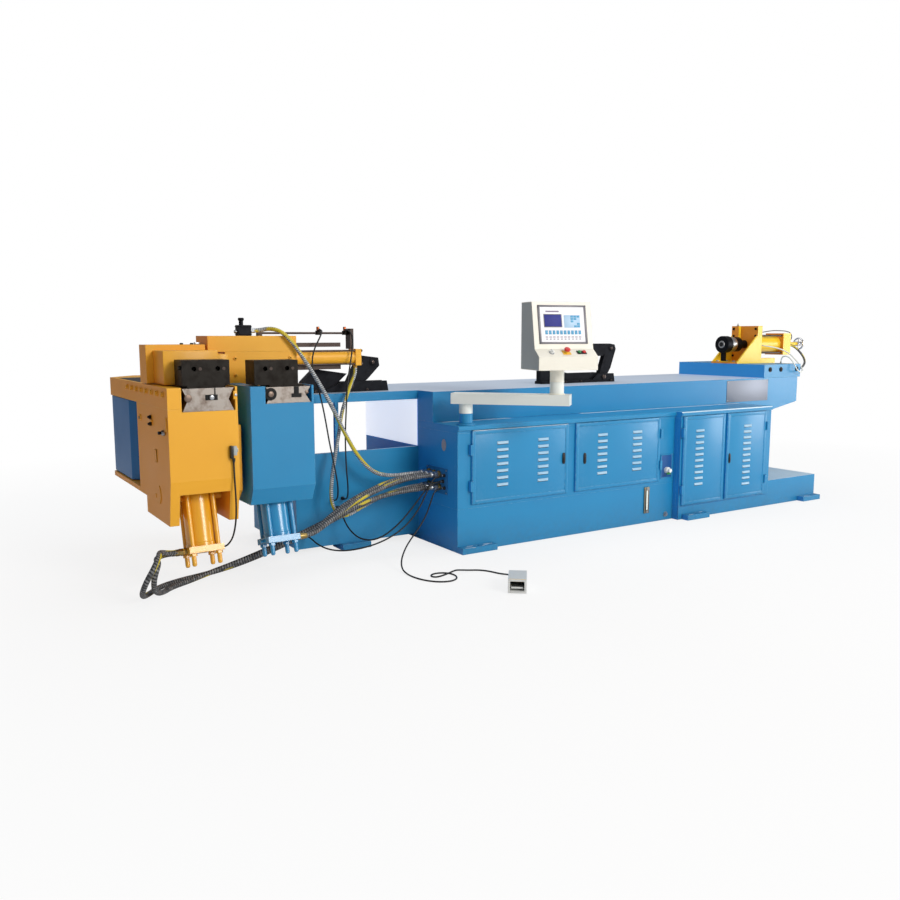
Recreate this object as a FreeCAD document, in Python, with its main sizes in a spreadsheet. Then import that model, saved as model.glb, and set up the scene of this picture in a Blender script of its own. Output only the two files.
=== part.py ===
import FreeCAD, Part

import math
import os
import re

import Sketcher
from FreeCAD import Placement, Rotation, Vector

# A hydraulic mandrel tube bending machine, in millimetres.
# +X runs along the machine to its mandrel end, +Y runs to the back, +Z is up.
# The origin is on the floor, under the middle of the machine's footprint.

SIZES = {
    # Where the cabinet's front left bottom corner stands
    "cabinet_left": -1365.0,
    "cabinet_front": -519.3,
    # Cabinets under the bed
    "cabinet_length": 2010.0,
    "electric_length": 1077.0,
    "electric_step": 60.0,
    "cabinet_depth": 1300.0,
    "cabinet_height": 825.0,
    "panel": 30.0,
    "tank_height": 290.0,
    "plinth_height": 100.0,
    "ledge_rise": 18.0,
    "ledge_nose": 14.0,
    "ledge_lip": 12.0,
    "ledge_depth": 307.0,
    # Bed, its overhang and the rear block
    "bed_top": 1050.0,
    "bed_overhang": 837.0,
    "bracket_drop": 170.0,
    "bracket_end_drop": 17.0,
    "block_length": 510.0,
    "block_proud": 36.0,
    "block_height": 117.0,
    "rear_base_length": 637.0,
    "rear_base_height": 213.0,
    # Doors, each lapping over its opening's edges
    "door_thickness": 18.0,
    "face_gap": 0.3,
    "door_lap": 22.0,
    "door_start": 104.0,
    "door_end": 172.0,
    "door_post": 72.0,
    "door_share": 0.4934,
    "door_foot": 25.0,
    "door_head": 17.0,
    "tall_start": 22.0,
    "tall_end": 77.0,
    "tall_post": 30.0,
    "tall_share": 0.4937,
    "tall_foot": 12.0,
    "hinge_radius": 5.5,
    "hinge_gap": 0.7,
    "hinge_height": 70.0,
    "hinge_inset": 90.0,
    "hinge_ear": 12.0,
    "hinge_web": 4.0,
    # Beam between the cabinet and the bending head
    "beam_length": 920.0,
    "beam_setback": 503.0,
    "rail_height": 60.0,
    "column_width": 120.0,
    "skirt_height": 660.0,
    "skirt_plate": 30.0,
    "chest_height": 540.0,
    "strut_width": 26.0,
    "strut_place": 286.0,
    # Bending spindle and its housing
    "pivot_reach": 1420.0,
    "pivot_depth": 1200.0,
    "spindle_radius": 70.0,
    "spindle_rise": 10.0,
    "spindle_nose_radius": 50.0,
    "spindle_nose_length": 130.0,
    "running_gap": 0.05,
    "housing_half": 410.0,
    "housing_corner": 170.0,
    "housing_gap": 6.0,
    "bridge_depth": 150.0,
    # Swing arm
    "arm_left_half": 420.0,
    "arm_right_half": 37.0,
    "arm_top": 1150.0,
    "arm_plate": 116.0,
    "arm_depth": 700.0,
    "arm_floor": 490.0,
    "arm_sole": 30.0,
    "arm_step": 545.0,
    "arm_foot": 392.0,
    "arm_wall": 52.0,
    "arm_bevel_low": 565.0,
    "arm_bevel_high": 640.0,
    "arm_bevel_in": 50.0,
    "arm_tail_half": 430.0,
    "arm_tail_corner": 200.0,
    "arm_mouth": 330.0,
    "arm_mouth_top": 660.0,
    "flange_width": 45.0,
    "flange_low": 490.0,
    "flange_high": 925.0,
    "flange_from": 90.0,
    "flange_to": 420.0,
    "flange_corner": 60.0,
    "trunnion_radius": 22.0,
    "trunnion_drop": 45.0,
    # Slides in the heads, and what rides on them
    "slide_width": 284.0,
    "slide_cheek": 18.0,
    "slide_height": 125.0,
    "slide_length": 556.0,
    "slide_flare": 30.0,
    "slide_gap": 5.5,
    "slide_sink": 6.0,
    "slide_from": 4.0,
    "die_block_width": 262.0,
    "die_block_depth": 146.0,
    "die_block_height": 140.0,
    "die_block_from": 30.0,
    "die_foot_width": 210.0,
    "die_screw_radius": 13.0,
    "die_screw_depth": 40.0,
    "die_screw_rise": 92.0,
    "clamp_box_width": 340.0,
    "clamp_box_from": 420.0,
    "clamp_box_depth": 150.0,
    "clamp_box_height": 219.0,
    "clamp_foot_inset": 20.0,
    "clamp_foot_width": 204.0,
    "arm_sensor_inset": 18.5,
    "arm_sensor_width": 37.0,
    "arm_sensor_depth": 28.0,
    "arm_sensor_low": 750.0,
    "arm_sensor_height": 70.0,
    # Fixed pressure head
    "head_left": 1382.0,
    "head_width": 381.0,
    "head_depth": 700.0,
    "head_top": 1143.0,
    "head_bottom": 462.0,
    "head_bevel": 560.0,
    "head_bevel_in": 50.0,
    "head_bay_width": 210.0,
    "head_bay_from": 70.0,
    "head_bay_to": 340.0,
    "head_bay_top": 620.0,
    "pressure_slide_width": 270.0,
    "pressure_slide_height": 92.0,
    "pressure_slide_length": 400.0,
    "pressure_block_inset": 37.0,
    # Pressure carriage, top beam, valve and booster cylinder
    "carriage_width": 455.0,
    "carriage_from": 420.0,
    "carriage_depth": 200.0,
    "carriage_height": 187.0,
    "top_beam_over": 102.0,
    "top_beam_depth": 230.0,
    "top_beam_height": 95.0,
    "booster_radius": 48.0,
    "booster_length": 433.0,
    "booster_cap": 106.0,
    "booster_cap_length": 42.0,
    "booster_axis_z": 1285.0,
    "booster_tie_reach": 43.0,
    "booster_tie_radius": 5.0,
    "guide_rod_radius": 7.0,
    "guide_rod_z": 1442.0,
    "guide_rod_y": 600.0,
    "guide_rod_back": 173.0,
    "guide_post": 15.0,
    "guide_bracket": 24.0,
    "sensor_place": 206.0,
    "sensor_end_place": 14.0,
    "sensor_height": 33.0,
    "sensor_radius": 9.0,
    "sensor_exit": 20.0,
    "bar_depth": 32.0,
    "bar_height": 27.0,
    "bar_rise": 24.0,
    "bar_short": 91.0,
    "low_bar_rise": 66.0,
    "valve_place": 102.0,
    "valve_setback": 40.0,
    "valve_width": 80.0,
    "valve_depth": 60.0,
    "valve_height": 65.0,
    "knob_height": 43.0,
    "knob_radius": 13.0,
    "valve_port_length": 16.0,
    "valve_port_radius": 14.0,
    "booster_port_length": 18.0,
    "booster_port_radius": 13.0,
    # Clamp and pressure cylinders under the heads
    "cylinder_radius": 74.0,
    "cylinder_length": 330.0,
    "cylinder_tilt": 16.0,
    "cylinder_top_z": 560.0,
    "cylinder_top_y": 215.0,
    "cylinder_cap": 196.0,
    "cylinder_cap_length": 36.0,
    "tie_rod_radius": 13.0,
    "tie_rod_length": 62.0,
    "tie_rod_inset": 26.0,
    "cylinder_port_reach": 32.0,
    "cylinder_port_length": 24.0,
    "switch_length": 16.0,
    # Console on its swinging arm
    "console_pivot_x": 105.0,
    "console_pivot_y": 62.0,
    "console_tube": 45.0,
    "console_spigot": 30.0,
    "console_post_height": 76.0,
    "console_collar": 64.0,
    "console_arm_length": 598.0,
    "console_arm_width": 124.0,
    "console_arm_height": 70.0,
    "console_arm_over": 88.0,
    "console_arm_angle": 47.0,
    "console_turn": 15.0,
    "console_stem": 80.0,
    "console_neck": 79.0,
    "console_neck_wall": 10.0,
    "console_width": 400.0,
    "console_height": 423.0,
    "console_depth": 250.0,
    "console_back": 120.0,
    "console_chin": 40.0,
    "console_slope": 90.0,
    # Lift-up tube supports
    "support_centre": 655.0,
    "support_width": 90.0,
    "support_cheek": 18.0,
    "support_gap": 5.0,
    "support_pin_z": 40.0,
    "support_pin_radius": 14.0,
    "cradle_thick": 30.0,
    "cradle_reach": 800.0,
    # Mandrel carriage on the rear block
    "mandrel_from": 605.0,
    "mandrel_width": 300.0,
    "mandrel_base_length": 536.0,
    "mandrel_plate": 16.0,
    "upright_place": 273.0,
    "upright_thick": 62.0,
    "upright_height": 329.0,
    "gusset_height": 240.0,
    "gusset_inset": 8.0,
    "rear_rail": 60.0,
    "stop_bar_thick": 32.0,
    "stop_bar_place": 44.0,
    "stop_bar_width": 40.0,
    "stop_bar_drop": 14.0,
    "tube_axis_z": 1342.0,
    "chuck_reach": 40.0,
    "chuck_radius": 77.0,
    "chuck_length": 69.0,
    "chuck_barrel": 68.0,
    "chuck_barrel_length": 132.0,
    "chuck_groove": 10.0,
    "leg_inset": 14.0,
    "leg_width": 36.0,
    "leg_length": 30.0,
    "leg_gap": 6.0,
    "leg_sink": 8.0,
    "socket_radius": 20.0,
    "socket_depth": 60.0,
    "mandrel_rod_radius": 38.0,
    "mandrel_rod_back": 330.0,
    "mandrel_barrel": 72.0,
    "mandrel_barrel_length": 340.0,
    "mandrel_cap": 205.0,
    "mandrel_cap_length": 40.0,
    "mandrel_end_cap_length": 110.0,
    "wheel_radius": 58.0,
    "wheel_rim": 12.0,
    "wheel_hub": 22.0,
    "wheel_gap": 225.0,
    "wheel_depth": 70.0,
    "wheel_screw": 16.0,
    "wheel_spoke": 6.0,
    # Floor pads
    "pad_height": 40.0,
    "pad_out": 65.0,
    "left_pad_length": 280.0,
    "middle_pad_from": 45.0,
    "middle_pad_length": 245.0,
    "right_pad_length": 232.0,
    "pad_hole_radius": 11.0,
    "beam_foot_place": 310.0,
    "beam_foot_length": 210.0,
    "beam_foot_out": 43.0,
    "beam_foot_in": 120.0,
    # Hose ports on the cabinet's left end, and hoses
    "port_radius": 17.0,
    "port_length": 60.0,
    "gland_radius": 9.0,
    "gland_length": 24.0,
    "hose": 30.0,
    "valve_hose": 26.0,
    "booster_hose": 24.0,
    "cable": 10.0,
    "mandrel_hose": 20.0,
    "mandrel_line": 12.0,
    "mandrel_cable": 8.0,
    # Foot pedal on the floor
    "pedal_x": -148.0,
    "pedal_y": -852.0,
    "pedal_turn": 38.0,
    "pedal_width": 104.0,
    "pedal_length": 190.0,
    "pedal_height": 80.0,
    "pedal_wall": 12.0,
    "treadle_height": 10.0,
    "pedal_entry": 18.0,
}

doc = FreeCAD.newDocument("TubeBendingMachine")
sheet = doc.addObject("Spreadsheet::Sheet", "Sizes")
for row, (name, value) in enumerate(SIZES.items(), start=1):
    sheet.set(f"A{row}", name)
    sheet.set(f"B{row}", str(value))
    sheet.setAlias(f"B{row}", name)
doc.recompute()

nodes = []


def linked(text):
    """A formula in the sizes' names, written as the sheet's cells."""
    return re.sub(
        r"[a-z][a-z0-9_]*",
        lambda word: "Sizes." + word.group(0) if word.group(0) in SIZES else word.group(0),
        str(text),
    )


def bind(item, prop, formula):
    item.setExpression(prop, linked(formula))


def place(item, x="0", y="0", z="0"):
    bind(item, "Placement.Base.x", x)
    bind(item, "Placement.Base.y", y)
    bind(item, "Placement.Base.z", z)


def node(item, label):
    """Keeps an object as a finished sub-part under its own name."""
    item.Label = label
    nodes.append(item)
    return item


def span(low, high):
    return f"({high}) - ({low})"


def block(name, low, high):
    """A box between two corners."""
    box = doc.addObject("Part::Box", name)
    bind(box, "Length", span(low[0], high[0]))
    bind(box, "Width", span(low[1], high[1]))
    bind(box, "Height", span(low[2], high[2]))
    place(box, *low)
    return box


TURNS = {
    "X": Rotation(Vector(0, 1, 0), 90),
    "Y": Rotation(Vector(1, 0, 0), -90),
    "Z": Rotation(),
}


def rod(name, axis, start, length, radius):
    """A round bar from a start point along one axis."""
    bar = doc.addObject("Part::Cylinder", name)
    bar.Placement = Placement(Vector(), TURNS[axis])
    bind(bar, "Radius", radius)
    bind(bar, "Height", length)
    place(bar, *start)
    return bar


def less(name, base, *tools):
    """A base with each tool cut away."""
    for index, tool in enumerate(tools):
        cut = doc.addObject("Part::Cut", f"{name}_cut{index}")
        cut.Base = base
        cut.Tool = tool
        base = cut
    return base


def joined(name, *parts):
    fusion = doc.addObject("Part::MultiFuse", name)
    fusion.Shapes = list(parts)
    return fusion


def grouped(name, *parts):
    """Solids that don't touch, kept as one sub-part."""
    group = doc.addObject("Part::Compound", name)
    group.Links = list(parts)
    return group


def plane_of(body, role):
    return next(item for item in body.Origin.OriginFeatures if item.Role == role)


def outline_sketch(body, role, offset, outline):
    """A closed outline of straight sides on one of the body's own planes."""
    drawing = body.newObject("Sketcher::SketchObject", body.Name + "_outline")
    drawing.AttachmentSupport = [(plane_of(body, role), "")]
    drawing.MapMode = "FlatFace"
    bind(drawing, "AttachmentOffset.Base.z", offset)
    count = len(outline)
    turn = 2 * math.pi / count
    starts = [Vector(10 * math.cos(turn * k), 10 * math.sin(turn * k), 0) for k in range(count)]
    drawing.addGeometry(
        [Part.LineSegment(starts[k], starts[(k + 1) % count]) for k in range(count)], False
    )
    rules = [Sketcher.Constraint("Coincident", k, 2, (k + 1) % count, 1) for k in range(count)]
    for k, start in enumerate(starts):
        rules.append(Sketcher.Constraint("DistanceX", -1, 1, k, 1, start.x))
        rules.append(Sketcher.Constraint("DistanceY", -1, 1, k, 1, start.y))
    drawing.addConstraint(rules)
    for k, (across, up) in enumerate(outline):
        bind(drawing, f"Constraints[{count + 2 * k}]", across)
        bind(drawing, f"Constraints[{count + 2 * k + 1}]", up)
    return drawing


def circle_sketch(body, role, offset, centre, radius):
    """A circle on one of the body's own planes."""
    drawing = body.newObject("Sketcher::SketchObject", body.Name + "_circle")
    drawing.AttachmentSupport = [(plane_of(body, role), "")]
    drawing.MapMode = "FlatFace"
    bind(drawing, "AttachmentOffset.Base.z", offset)
    drawing.addGeometry(Part.Circle(Vector(1, 1, 0), Vector(0, 0, 1), 5), False)
    drawing.addConstraint([
        Sketcher.Constraint("DistanceX", -1, 1, 0, 3, 1),
        Sketcher.Constraint("DistanceY", -1, 1, 0, 3, 1),
        Sketcher.Constraint("Radius", 0, 5),
    ])
    bind(drawing, "Constraints[0]", centre[0])
    bind(drawing, "Constraints[1]", centre[1])
    bind(drawing, "Constraints[2]", radius)
    return drawing


# The plane that each direction of extrusion starts from.
# A sketch on the XZ plane faces -Y, so its offset is turned over.
PLANES = {"X": ("YZ_Plane", 1), "Y": ("XZ_Plane", -1), "Z": ("XY_Plane", 1)}


def drawn(body, axis, start, outline):
    """An outline, or a circle given as a centre and a radius, where an extrusion starts."""
    role, sign = PLANES[axis]
    offset = start if sign > 0 else f"-({start})"
    if isinstance(outline, tuple):
        return circle_sketch(body, role, offset, *outline)
    return outline_sketch(body, role, offset, outline)


def solid(label):
    body = doc.addObject("PartDesign::Body", label)
    body.Label = label
    return body


def pad(body, axis, start, end, outline):
    drawing = drawn(body, axis, start, outline)
    feature = body.newObject("PartDesign::Pad", body.Name + "_pad")
    feature.Profile = drawing
    bind(feature, "Length", span(start, end))
    feature.Reversed = axis == "Y"
    return feature


def pocket(body, axis, start, end, outline):
    """Cuts an outline away from its start to its end along the axis."""
    drawing = drawn(body, axis, start, outline)
    feature = body.newObject("PartDesign::Pocket", body.Name + "_pocket")
    feature.Profile = drawing
    bind(feature, "Length", span(start, end))
    feature.Reversed = axis != "Y"
    return feature


def extruded(label, axis, start, end, outline, *cuts):
    """A sub-part made of one extrusion with outlines cut right through it."""
    body = solid(label)
    pad(body, axis, start, end, outline)
    for cut in cuts:
        pocket(body, axis, start, end, cut)
    return node(body, label)


def rectangle(low, high):
    return [(low[0], low[1]), (high[0], low[1]), (high[0], high[1]), (low[0], high[1])]


def octagon(centre_x, centre_y, half, corner):
    """A square with its corners cut off, about a centre."""
    short = f"({half} - {corner})"
    steps = [
        (f"-{half}", f"-{short}"), (f"-{short}", f"-{half}"), (short, f"-{half}"), (half, f"-{short}"),
        (half, short), (short, half), (f"-{short}", half), (f"-{half}", short),
    ]
    return [(f"{centre_x} + {across}", f"{centre_y} + {up}") for across, up in steps]


# Places that several pieces share
LEFT = "cabinet_left"
FRONT = "cabinet_front"
BACK = "cabinet_front + cabinet_depth"
STEP_X = "cabinet_left + cabinet_length"
RIGHT = "cabinet_left + cabinet_length + electric_length"
STEP_Y = "cabinet_front - electric_step"
ROOF_LOW = "cabinet_height - panel"
BED_FRONT = "cabinet_front + ledge_depth"
BED_BOTTOM = "cabinet_height + ledge_rise"
BED_RIGHT = f"{RIGHT} + bed_overhang"
BLOCK_RIGHT = f"{BED_RIGHT} + block_proud"
BLOCK_LEFT = f"{BLOCK_RIGHT} - block_length"
BLOCK_TOP = "bed_top + block_height"
BEAM_LEFT = "cabinet_left - beam_length"
BEAM_FRONT = "cabinet_front + beam_setback"
PIVOT_X = "cabinet_left - pivot_reach"
PIVOT_Y = "cabinet_front + pivot_depth"
ARM_LEFT = f"{PIVOT_X} - arm_left_half"
ARM_RIGHT = f"{PIVOT_X} - arm_right_half"
ARM_BACK = "cabinet_front + arm_depth"
ARM_CEILING = "arm_top - arm_plate"
ARM_SLIDE_X = f"({ARM_RIGHT} - slide_cheek - slide_width / 2)"
HEAD_LEFT = "cabinet_left - head_left"
HEAD_RIGHT = f"{HEAD_LEFT} + head_width"
HEAD_BACK = "cabinet_front + head_depth"
HEAD_SLIDE_X = f"({HEAD_RIGHT} - slide_cheek - pressure_slide_width / 2)"
BEAM_BOX_Z = "head_top + carriage_height"
CARRIAGE_RIGHT = f"{HEAD_LEFT} + carriage_width"

# Doors over the oil tank, and the taller doors of the electrical cabinet
DOOR_SPAN = "(cabinet_length - door_start - door_end - door_post)"
DOOR_BOTTOM = "tank_height + door_foot"
DOOR_TOP = "cabinet_height - door_head"
DOOR1_LEFT = f"{LEFT} + door_start"
DOOR1_RIGHT = f"{DOOR1_LEFT} + {DOOR_SPAN} * door_share"
DOOR2_LEFT = f"{DOOR1_RIGHT} + door_post"
DOOR2_RIGHT = f"{STEP_X} - door_end"
TALL_SPAN = "(electric_length - tall_start - tall_end - tall_post)"
TALL_BOTTOM = "plinth_height + tall_foot"
DOOR3_LEFT = f"{STEP_X} + tall_start"
DOOR3_RIGHT = f"{DOOR3_LEFT} + {TALL_SPAN} * tall_share"
DOOR4_LEFT = f"{DOOR3_RIGHT} + tall_post"
DOOR4_RIGHT = f"{RIGHT} - tall_end"
DOORS = {
    "door_1": (DOOR1_LEFT, DOOR1_RIGHT, DOOR_BOTTOM, FRONT, "left"),
    "door_2": (DOOR2_LEFT, DOOR2_RIGHT, DOOR_BOTTOM, FRONT, "right"),
    "door_3": (DOOR3_LEFT, DOOR3_RIGHT, TALL_BOTTOM, STEP_Y, "left"),
    "door_4": (DOOR4_LEFT, DOOR4_RIGHT, TALL_BOTTOM, STEP_Y, "right"),
}


def doorway(name):
    """The opening behind a door, smaller than the door by its lap all round."""
    left, right, bottom, _, _ = DOORS[name]
    return rectangle((f"{left} + door_lap", f"{bottom} + door_lap"),
                     (f"{right} - door_lap", f"{DOOR_TOP} - door_lap"))


def cabinets():
    """Bases, door frames, walls and deck of the two cabinets."""
    tank = block("tank", (LEFT, FRONT, "0"), (STEP_X, BACK, "tank_height"))
    plinth = solid("plinth")
    pad(plinth, "Y", STEP_Y, BACK, [
        (STEP_X, "0"),
        (f"{RIGHT} + rear_base_length", "0"),
        (f"{RIGHT} + rear_base_length", "rear_base_height"),
        (RIGHT, "rear_base_height"),
        (RIGHT, "plinth_height"),
        (STEP_X, "plinth_height"),
    ])
    node(grouped("bases", tank, plinth), "machine_base")
    main = solid("main_frame")
    pad(main, "Y", FRONT, f"{FRONT} + panel", rectangle((LEFT, "tank_height"), (STEP_X, ROOF_LOW)))
    electric = solid("electric_frame")
    pad(electric, "Y", STEP_Y, f"{STEP_Y} + panel", rectangle((STEP_X, "plinth_height"), (RIGHT, ROOF_LOW)))
    for name, (_, _, _, face, _) in DOORS.items():
        pocket(main if face == FRONT else electric, "Y", face, f"{face} + panel", doorway(name))
    node(grouped("frames", main, electric), "door_frames")
    walls = [
        block(f"wall{index}", (left, f"{face} + panel", low), (f"{left} + panel", f"{BACK} - panel", ROOF_LOW))
        for index, (left, face, low) in enumerate((
            (LEFT, FRONT, "tank_height"),
            (STEP_X, STEP_Y, "plinth_height"),
            (f"{RIGHT} - panel", STEP_Y, "plinth_height"),
        ))
    ]
    for index, (left, right, low) in enumerate((
        (LEFT, STEP_X, "tank_height"),
        (STEP_X, RIGHT, "plinth_height"),
    )):
        walls.append(block(f"back{index}", (left, f"{BACK} - panel", low), (right, BACK, ROOF_LOW)))
    node(grouped("walls", *walls), "cabinet_walls")
    deck = solid("ledge_deck")
    for start, end, face in ((LEFT, STEP_X, FRONT), (STEP_X, RIGHT, STEP_Y)):
        pad(deck, "X", start, end, [
            (face, ROOF_LOW),
            (BACK, ROOF_LOW),
            (BACK, BED_BOTTOM),
            (f"{face} - ledge_nose / 2", BED_BOTTOM),
            (f"{face} - ledge_nose", f"{BED_BOTTOM} - ledge_nose / 2"),
            (f"{face} - ledge_nose", "cabinet_height - ledge_lip"),
            (face, "cabinet_height - ledge_lip"),
        ])
    node(deck, "ledge_deck")


def bed():
    """The long bed with its tapered overhang, and the block at its end."""
    extruded("upper_bed", "Y", BED_FRONT, BACK, [
        (LEFT, BED_BOTTOM),
        (RIGHT, BED_BOTTOM),
        (RIGHT, f"{BED_BOTTOM} - bracket_drop"),
        (BED_RIGHT, f"{BED_BOTTOM} - bracket_end_drop"),
        (BED_RIGHT, "bed_top"),
        (LEFT, "bed_top"),
    ])
    extruded("rear_block", "Y", BED_FRONT, BACK, rectangle((BLOCK_LEFT, "bed_top"), (BLOCK_RIGHT, BLOCK_TOP)))


def hinge(name, edge, side, face, low):
    """A fixed hinge barrel in front of a door's edge, with its ear to the frame beside the door."""
    axis_y = f"{face} - face_gap - door_thickness - hinge_gap - hinge_radius"
    high = f"{low} + hinge_height"
    barrel = rod(name + "_barrel", "Z", (edge, axis_y, low), "hinge_height", "hinge_radius")
    near = f"{edge} - {side} * hinge_radius"
    far = f"{edge} - {side} * (hinge_radius + hinge_ear)"
    first, last = (far, near) if side > 0 else (near, far)
    ear = block(name + "_ear", (first, axis_y, low), (last, face, high))
    first, last = (far, edge) if side > 0 else (edge, far)
    web = block(name + "_web", (first, f"{axis_y} - hinge_web", low), (last, f"{axis_y} + hinge_web", high))
    return joined(name, barrel, ear, web)


def doors():
    hinges = []
    for name, (left, right, bottom, face, hand) in DOORS.items():
        back = f"{face} - face_gap"
        extruded(name, "Y", f"{back} - door_thickness", back, rectangle((left, bottom), (right, DOOR_TOP)))
        edge, side = (left, 1) if hand == "left" else (right, -1)
        hinges.append(hinge(name + "_low", edge, side, face, f"{bottom} + hinge_inset"))
        hinges.append(hinge(name + "_high", edge, side, face, f"{DOOR_TOP} - hinge_inset - hinge_height"))
    node(grouped("hinges", *hinges), "door_hinges")


def beam():
    """Top rail, column, strut and chest of the beam that carries the bending head."""
    extruded("beam_chest", "X", BEAM_LEFT, LEFT, [
        (BEAM_FRONT, "pad_height"),
        (BACK, "pad_height"),
        (BACK, "chest_height"),
        (f"{BEAM_FRONT} + skirt_plate", "chest_height"),
        (f"{BEAM_FRONT} + skirt_plate", "skirt_height"),
        (BEAM_FRONT, "skirt_height"),
    ])
    rail_low = "bed_top - rail_height"
    strut_left = f"{BEAM_LEFT} + strut_place"
    rail = block("rail", (BEAM_LEFT, BEAM_FRONT, rail_low), (LEFT, BACK, "bed_top"))
    column = block("column", (BEAM_LEFT, f"{BEAM_FRONT} + skirt_plate", "chest_height"),
                   (f"{BEAM_LEFT} + column_width", BACK, rail_low))
    strut = block("strut", (strut_left, BEAM_FRONT, "skirt_height"),
                  (f"{strut_left} + strut_width", f"{BEAM_FRONT} + strut_width", rail_low))
    node(grouped("frame_bars", rail, column, strut), "beam_frame")


def spindle():
    """The fixed housing that carries the bending spindle, and the spindle."""
    low = "arm_floor + arm_sole + housing_gap"
    high = f"{ARM_CEILING} - housing_gap"
    housing = solid("spindle_housing")
    pad(housing, "Z", low, high, octagon(PIVOT_X, PIVOT_Y, "housing_half", "housing_corner"))
    bridge_left = f"{PIVOT_X} + housing_half - housing_corner"
    column_front = f"{BEAM_FRONT} + skirt_plate + bridge_depth"
    pad(housing, "Z", low, high, [
        (bridge_left, f"{PIVOT_Y} - housing_half"),
        (bridge_left, HEAD_BACK),
        (HEAD_RIGHT, HEAD_BACK),
        (HEAD_RIGHT, column_front),
        (BEAM_LEFT, column_front),
        (BEAM_LEFT, BACK),
        (f"{PIVOT_X} + housing_half", BACK),
        (f"{PIVOT_X} + housing_half", f"{PIVOT_Y} - housing_half + housing_corner"),
    ])
    pocket(housing, "Z", low, high, ((PIVOT_X, PIVOT_Y), "spindle_radius"))
    node(housing, "spindle_housing")
    foot = "arm_floor - arm_sole"
    shoulder = "arm_top + spindle_rise"
    shaft = rod("shaft", "Z", (PIVOT_X, PIVOT_Y, foot), span(foot, shoulder), "spindle_radius")
    nose = rod("nose", "Z", (PIVOT_X, PIVOT_Y, shoulder), "spindle_nose_length", "spindle_nose_radius")
    node(joined("spindle", shaft, nose), "bend_spindle")


def slide(label, centre_x, top, width, height, length):
    """A dovetail slide, narrow at its waist."""
    start = f"{FRONT} + slide_from"
    half = f"{width} / 2"
    waist = f"({width} / 2 - slide_flare)"
    crown = f"({top} - slide_sink)"
    return extruded(label, "Y", start, f"{start} + {length}", [
        (f"{centre_x} - {half}", crown),
        (f"{centre_x} - {waist}", f"{crown} - {height} / 2"),
        (f"{centre_x} - {half}", f"{crown} - {height}"),
        (f"{centre_x} + {half}", f"{crown} - {height}"),
        (f"{centre_x} + {waist}", f"{crown} - {height} / 2"),
        (f"{centre_x} + {half}", crown),
    ])


def channel(body, centre_x, top, width, height, back):
    """The open channel that a slide runs in."""
    half = f"({width} / 2 + slide_gap)"
    pocket(body, "Y", FRONT, back, rectangle(
        (f"{centre_x} - {half}", f"{top} - slide_sink - {height} - face_gap"),
        (f"{centre_x} + {half}", f"{top} + 1")))


def die_block(label, centre_x, slide_x, top):
    """The black block on a slide's front end, with its foot and two clamping screw holes."""
    low_y = f"{FRONT} + die_block_from"
    low_z = f"{top} + slide_sink"
    body = solid(label)
    pad(body, "Z", f"{top} - slide_sink", low_z, rectangle(
        (f"{slide_x} - die_foot_width / 2", low_y),
        (f"{slide_x} + die_foot_width / 2", f"{low_y} + die_block_depth")))
    pad(body, "Y", low_y, f"{low_y} + die_block_depth", rectangle(
        (f"{centre_x} - die_block_width / 2", low_z),
        (f"{centre_x} + die_block_width / 2", f"{low_z} + die_block_height")))
    for side in ("-", "+"):
        pocket(body, "Y", low_y, f"{low_y} + die_screw_depth", (
            (f"{centre_x} {side} die_block_width / 4", f"{low_z} + die_screw_rise"), "die_screw_radius"))
    return node(body, label)


def arm_tail(front_left, front_right):
    """The plan of a plate that runs back round the spindle, from two front corners."""
    half = "arm_tail_half"
    short = "(arm_tail_half - arm_tail_corner)"
    return [
        front_left,
        front_right,
        (ARM_RIGHT, f"{PIVOT_Y} - {half}"),
        (f"{PIVOT_X} + {short}", f"{PIVOT_Y} - {half}"),
        (f"{PIVOT_X} + {half}", f"{PIVOT_Y} - {short}"),
        (f"{PIVOT_X} + {half}", f"{PIVOT_Y} + {short}"),
        (f"{PIVOT_X} + {short}", f"{PIVOT_Y} + {half}"),
        (f"{PIVOT_X} - {short}", f"{PIVOT_Y} + {half}"),
        (ARM_LEFT, f"{PIVOT_Y} + {short}"),
    ]


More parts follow.
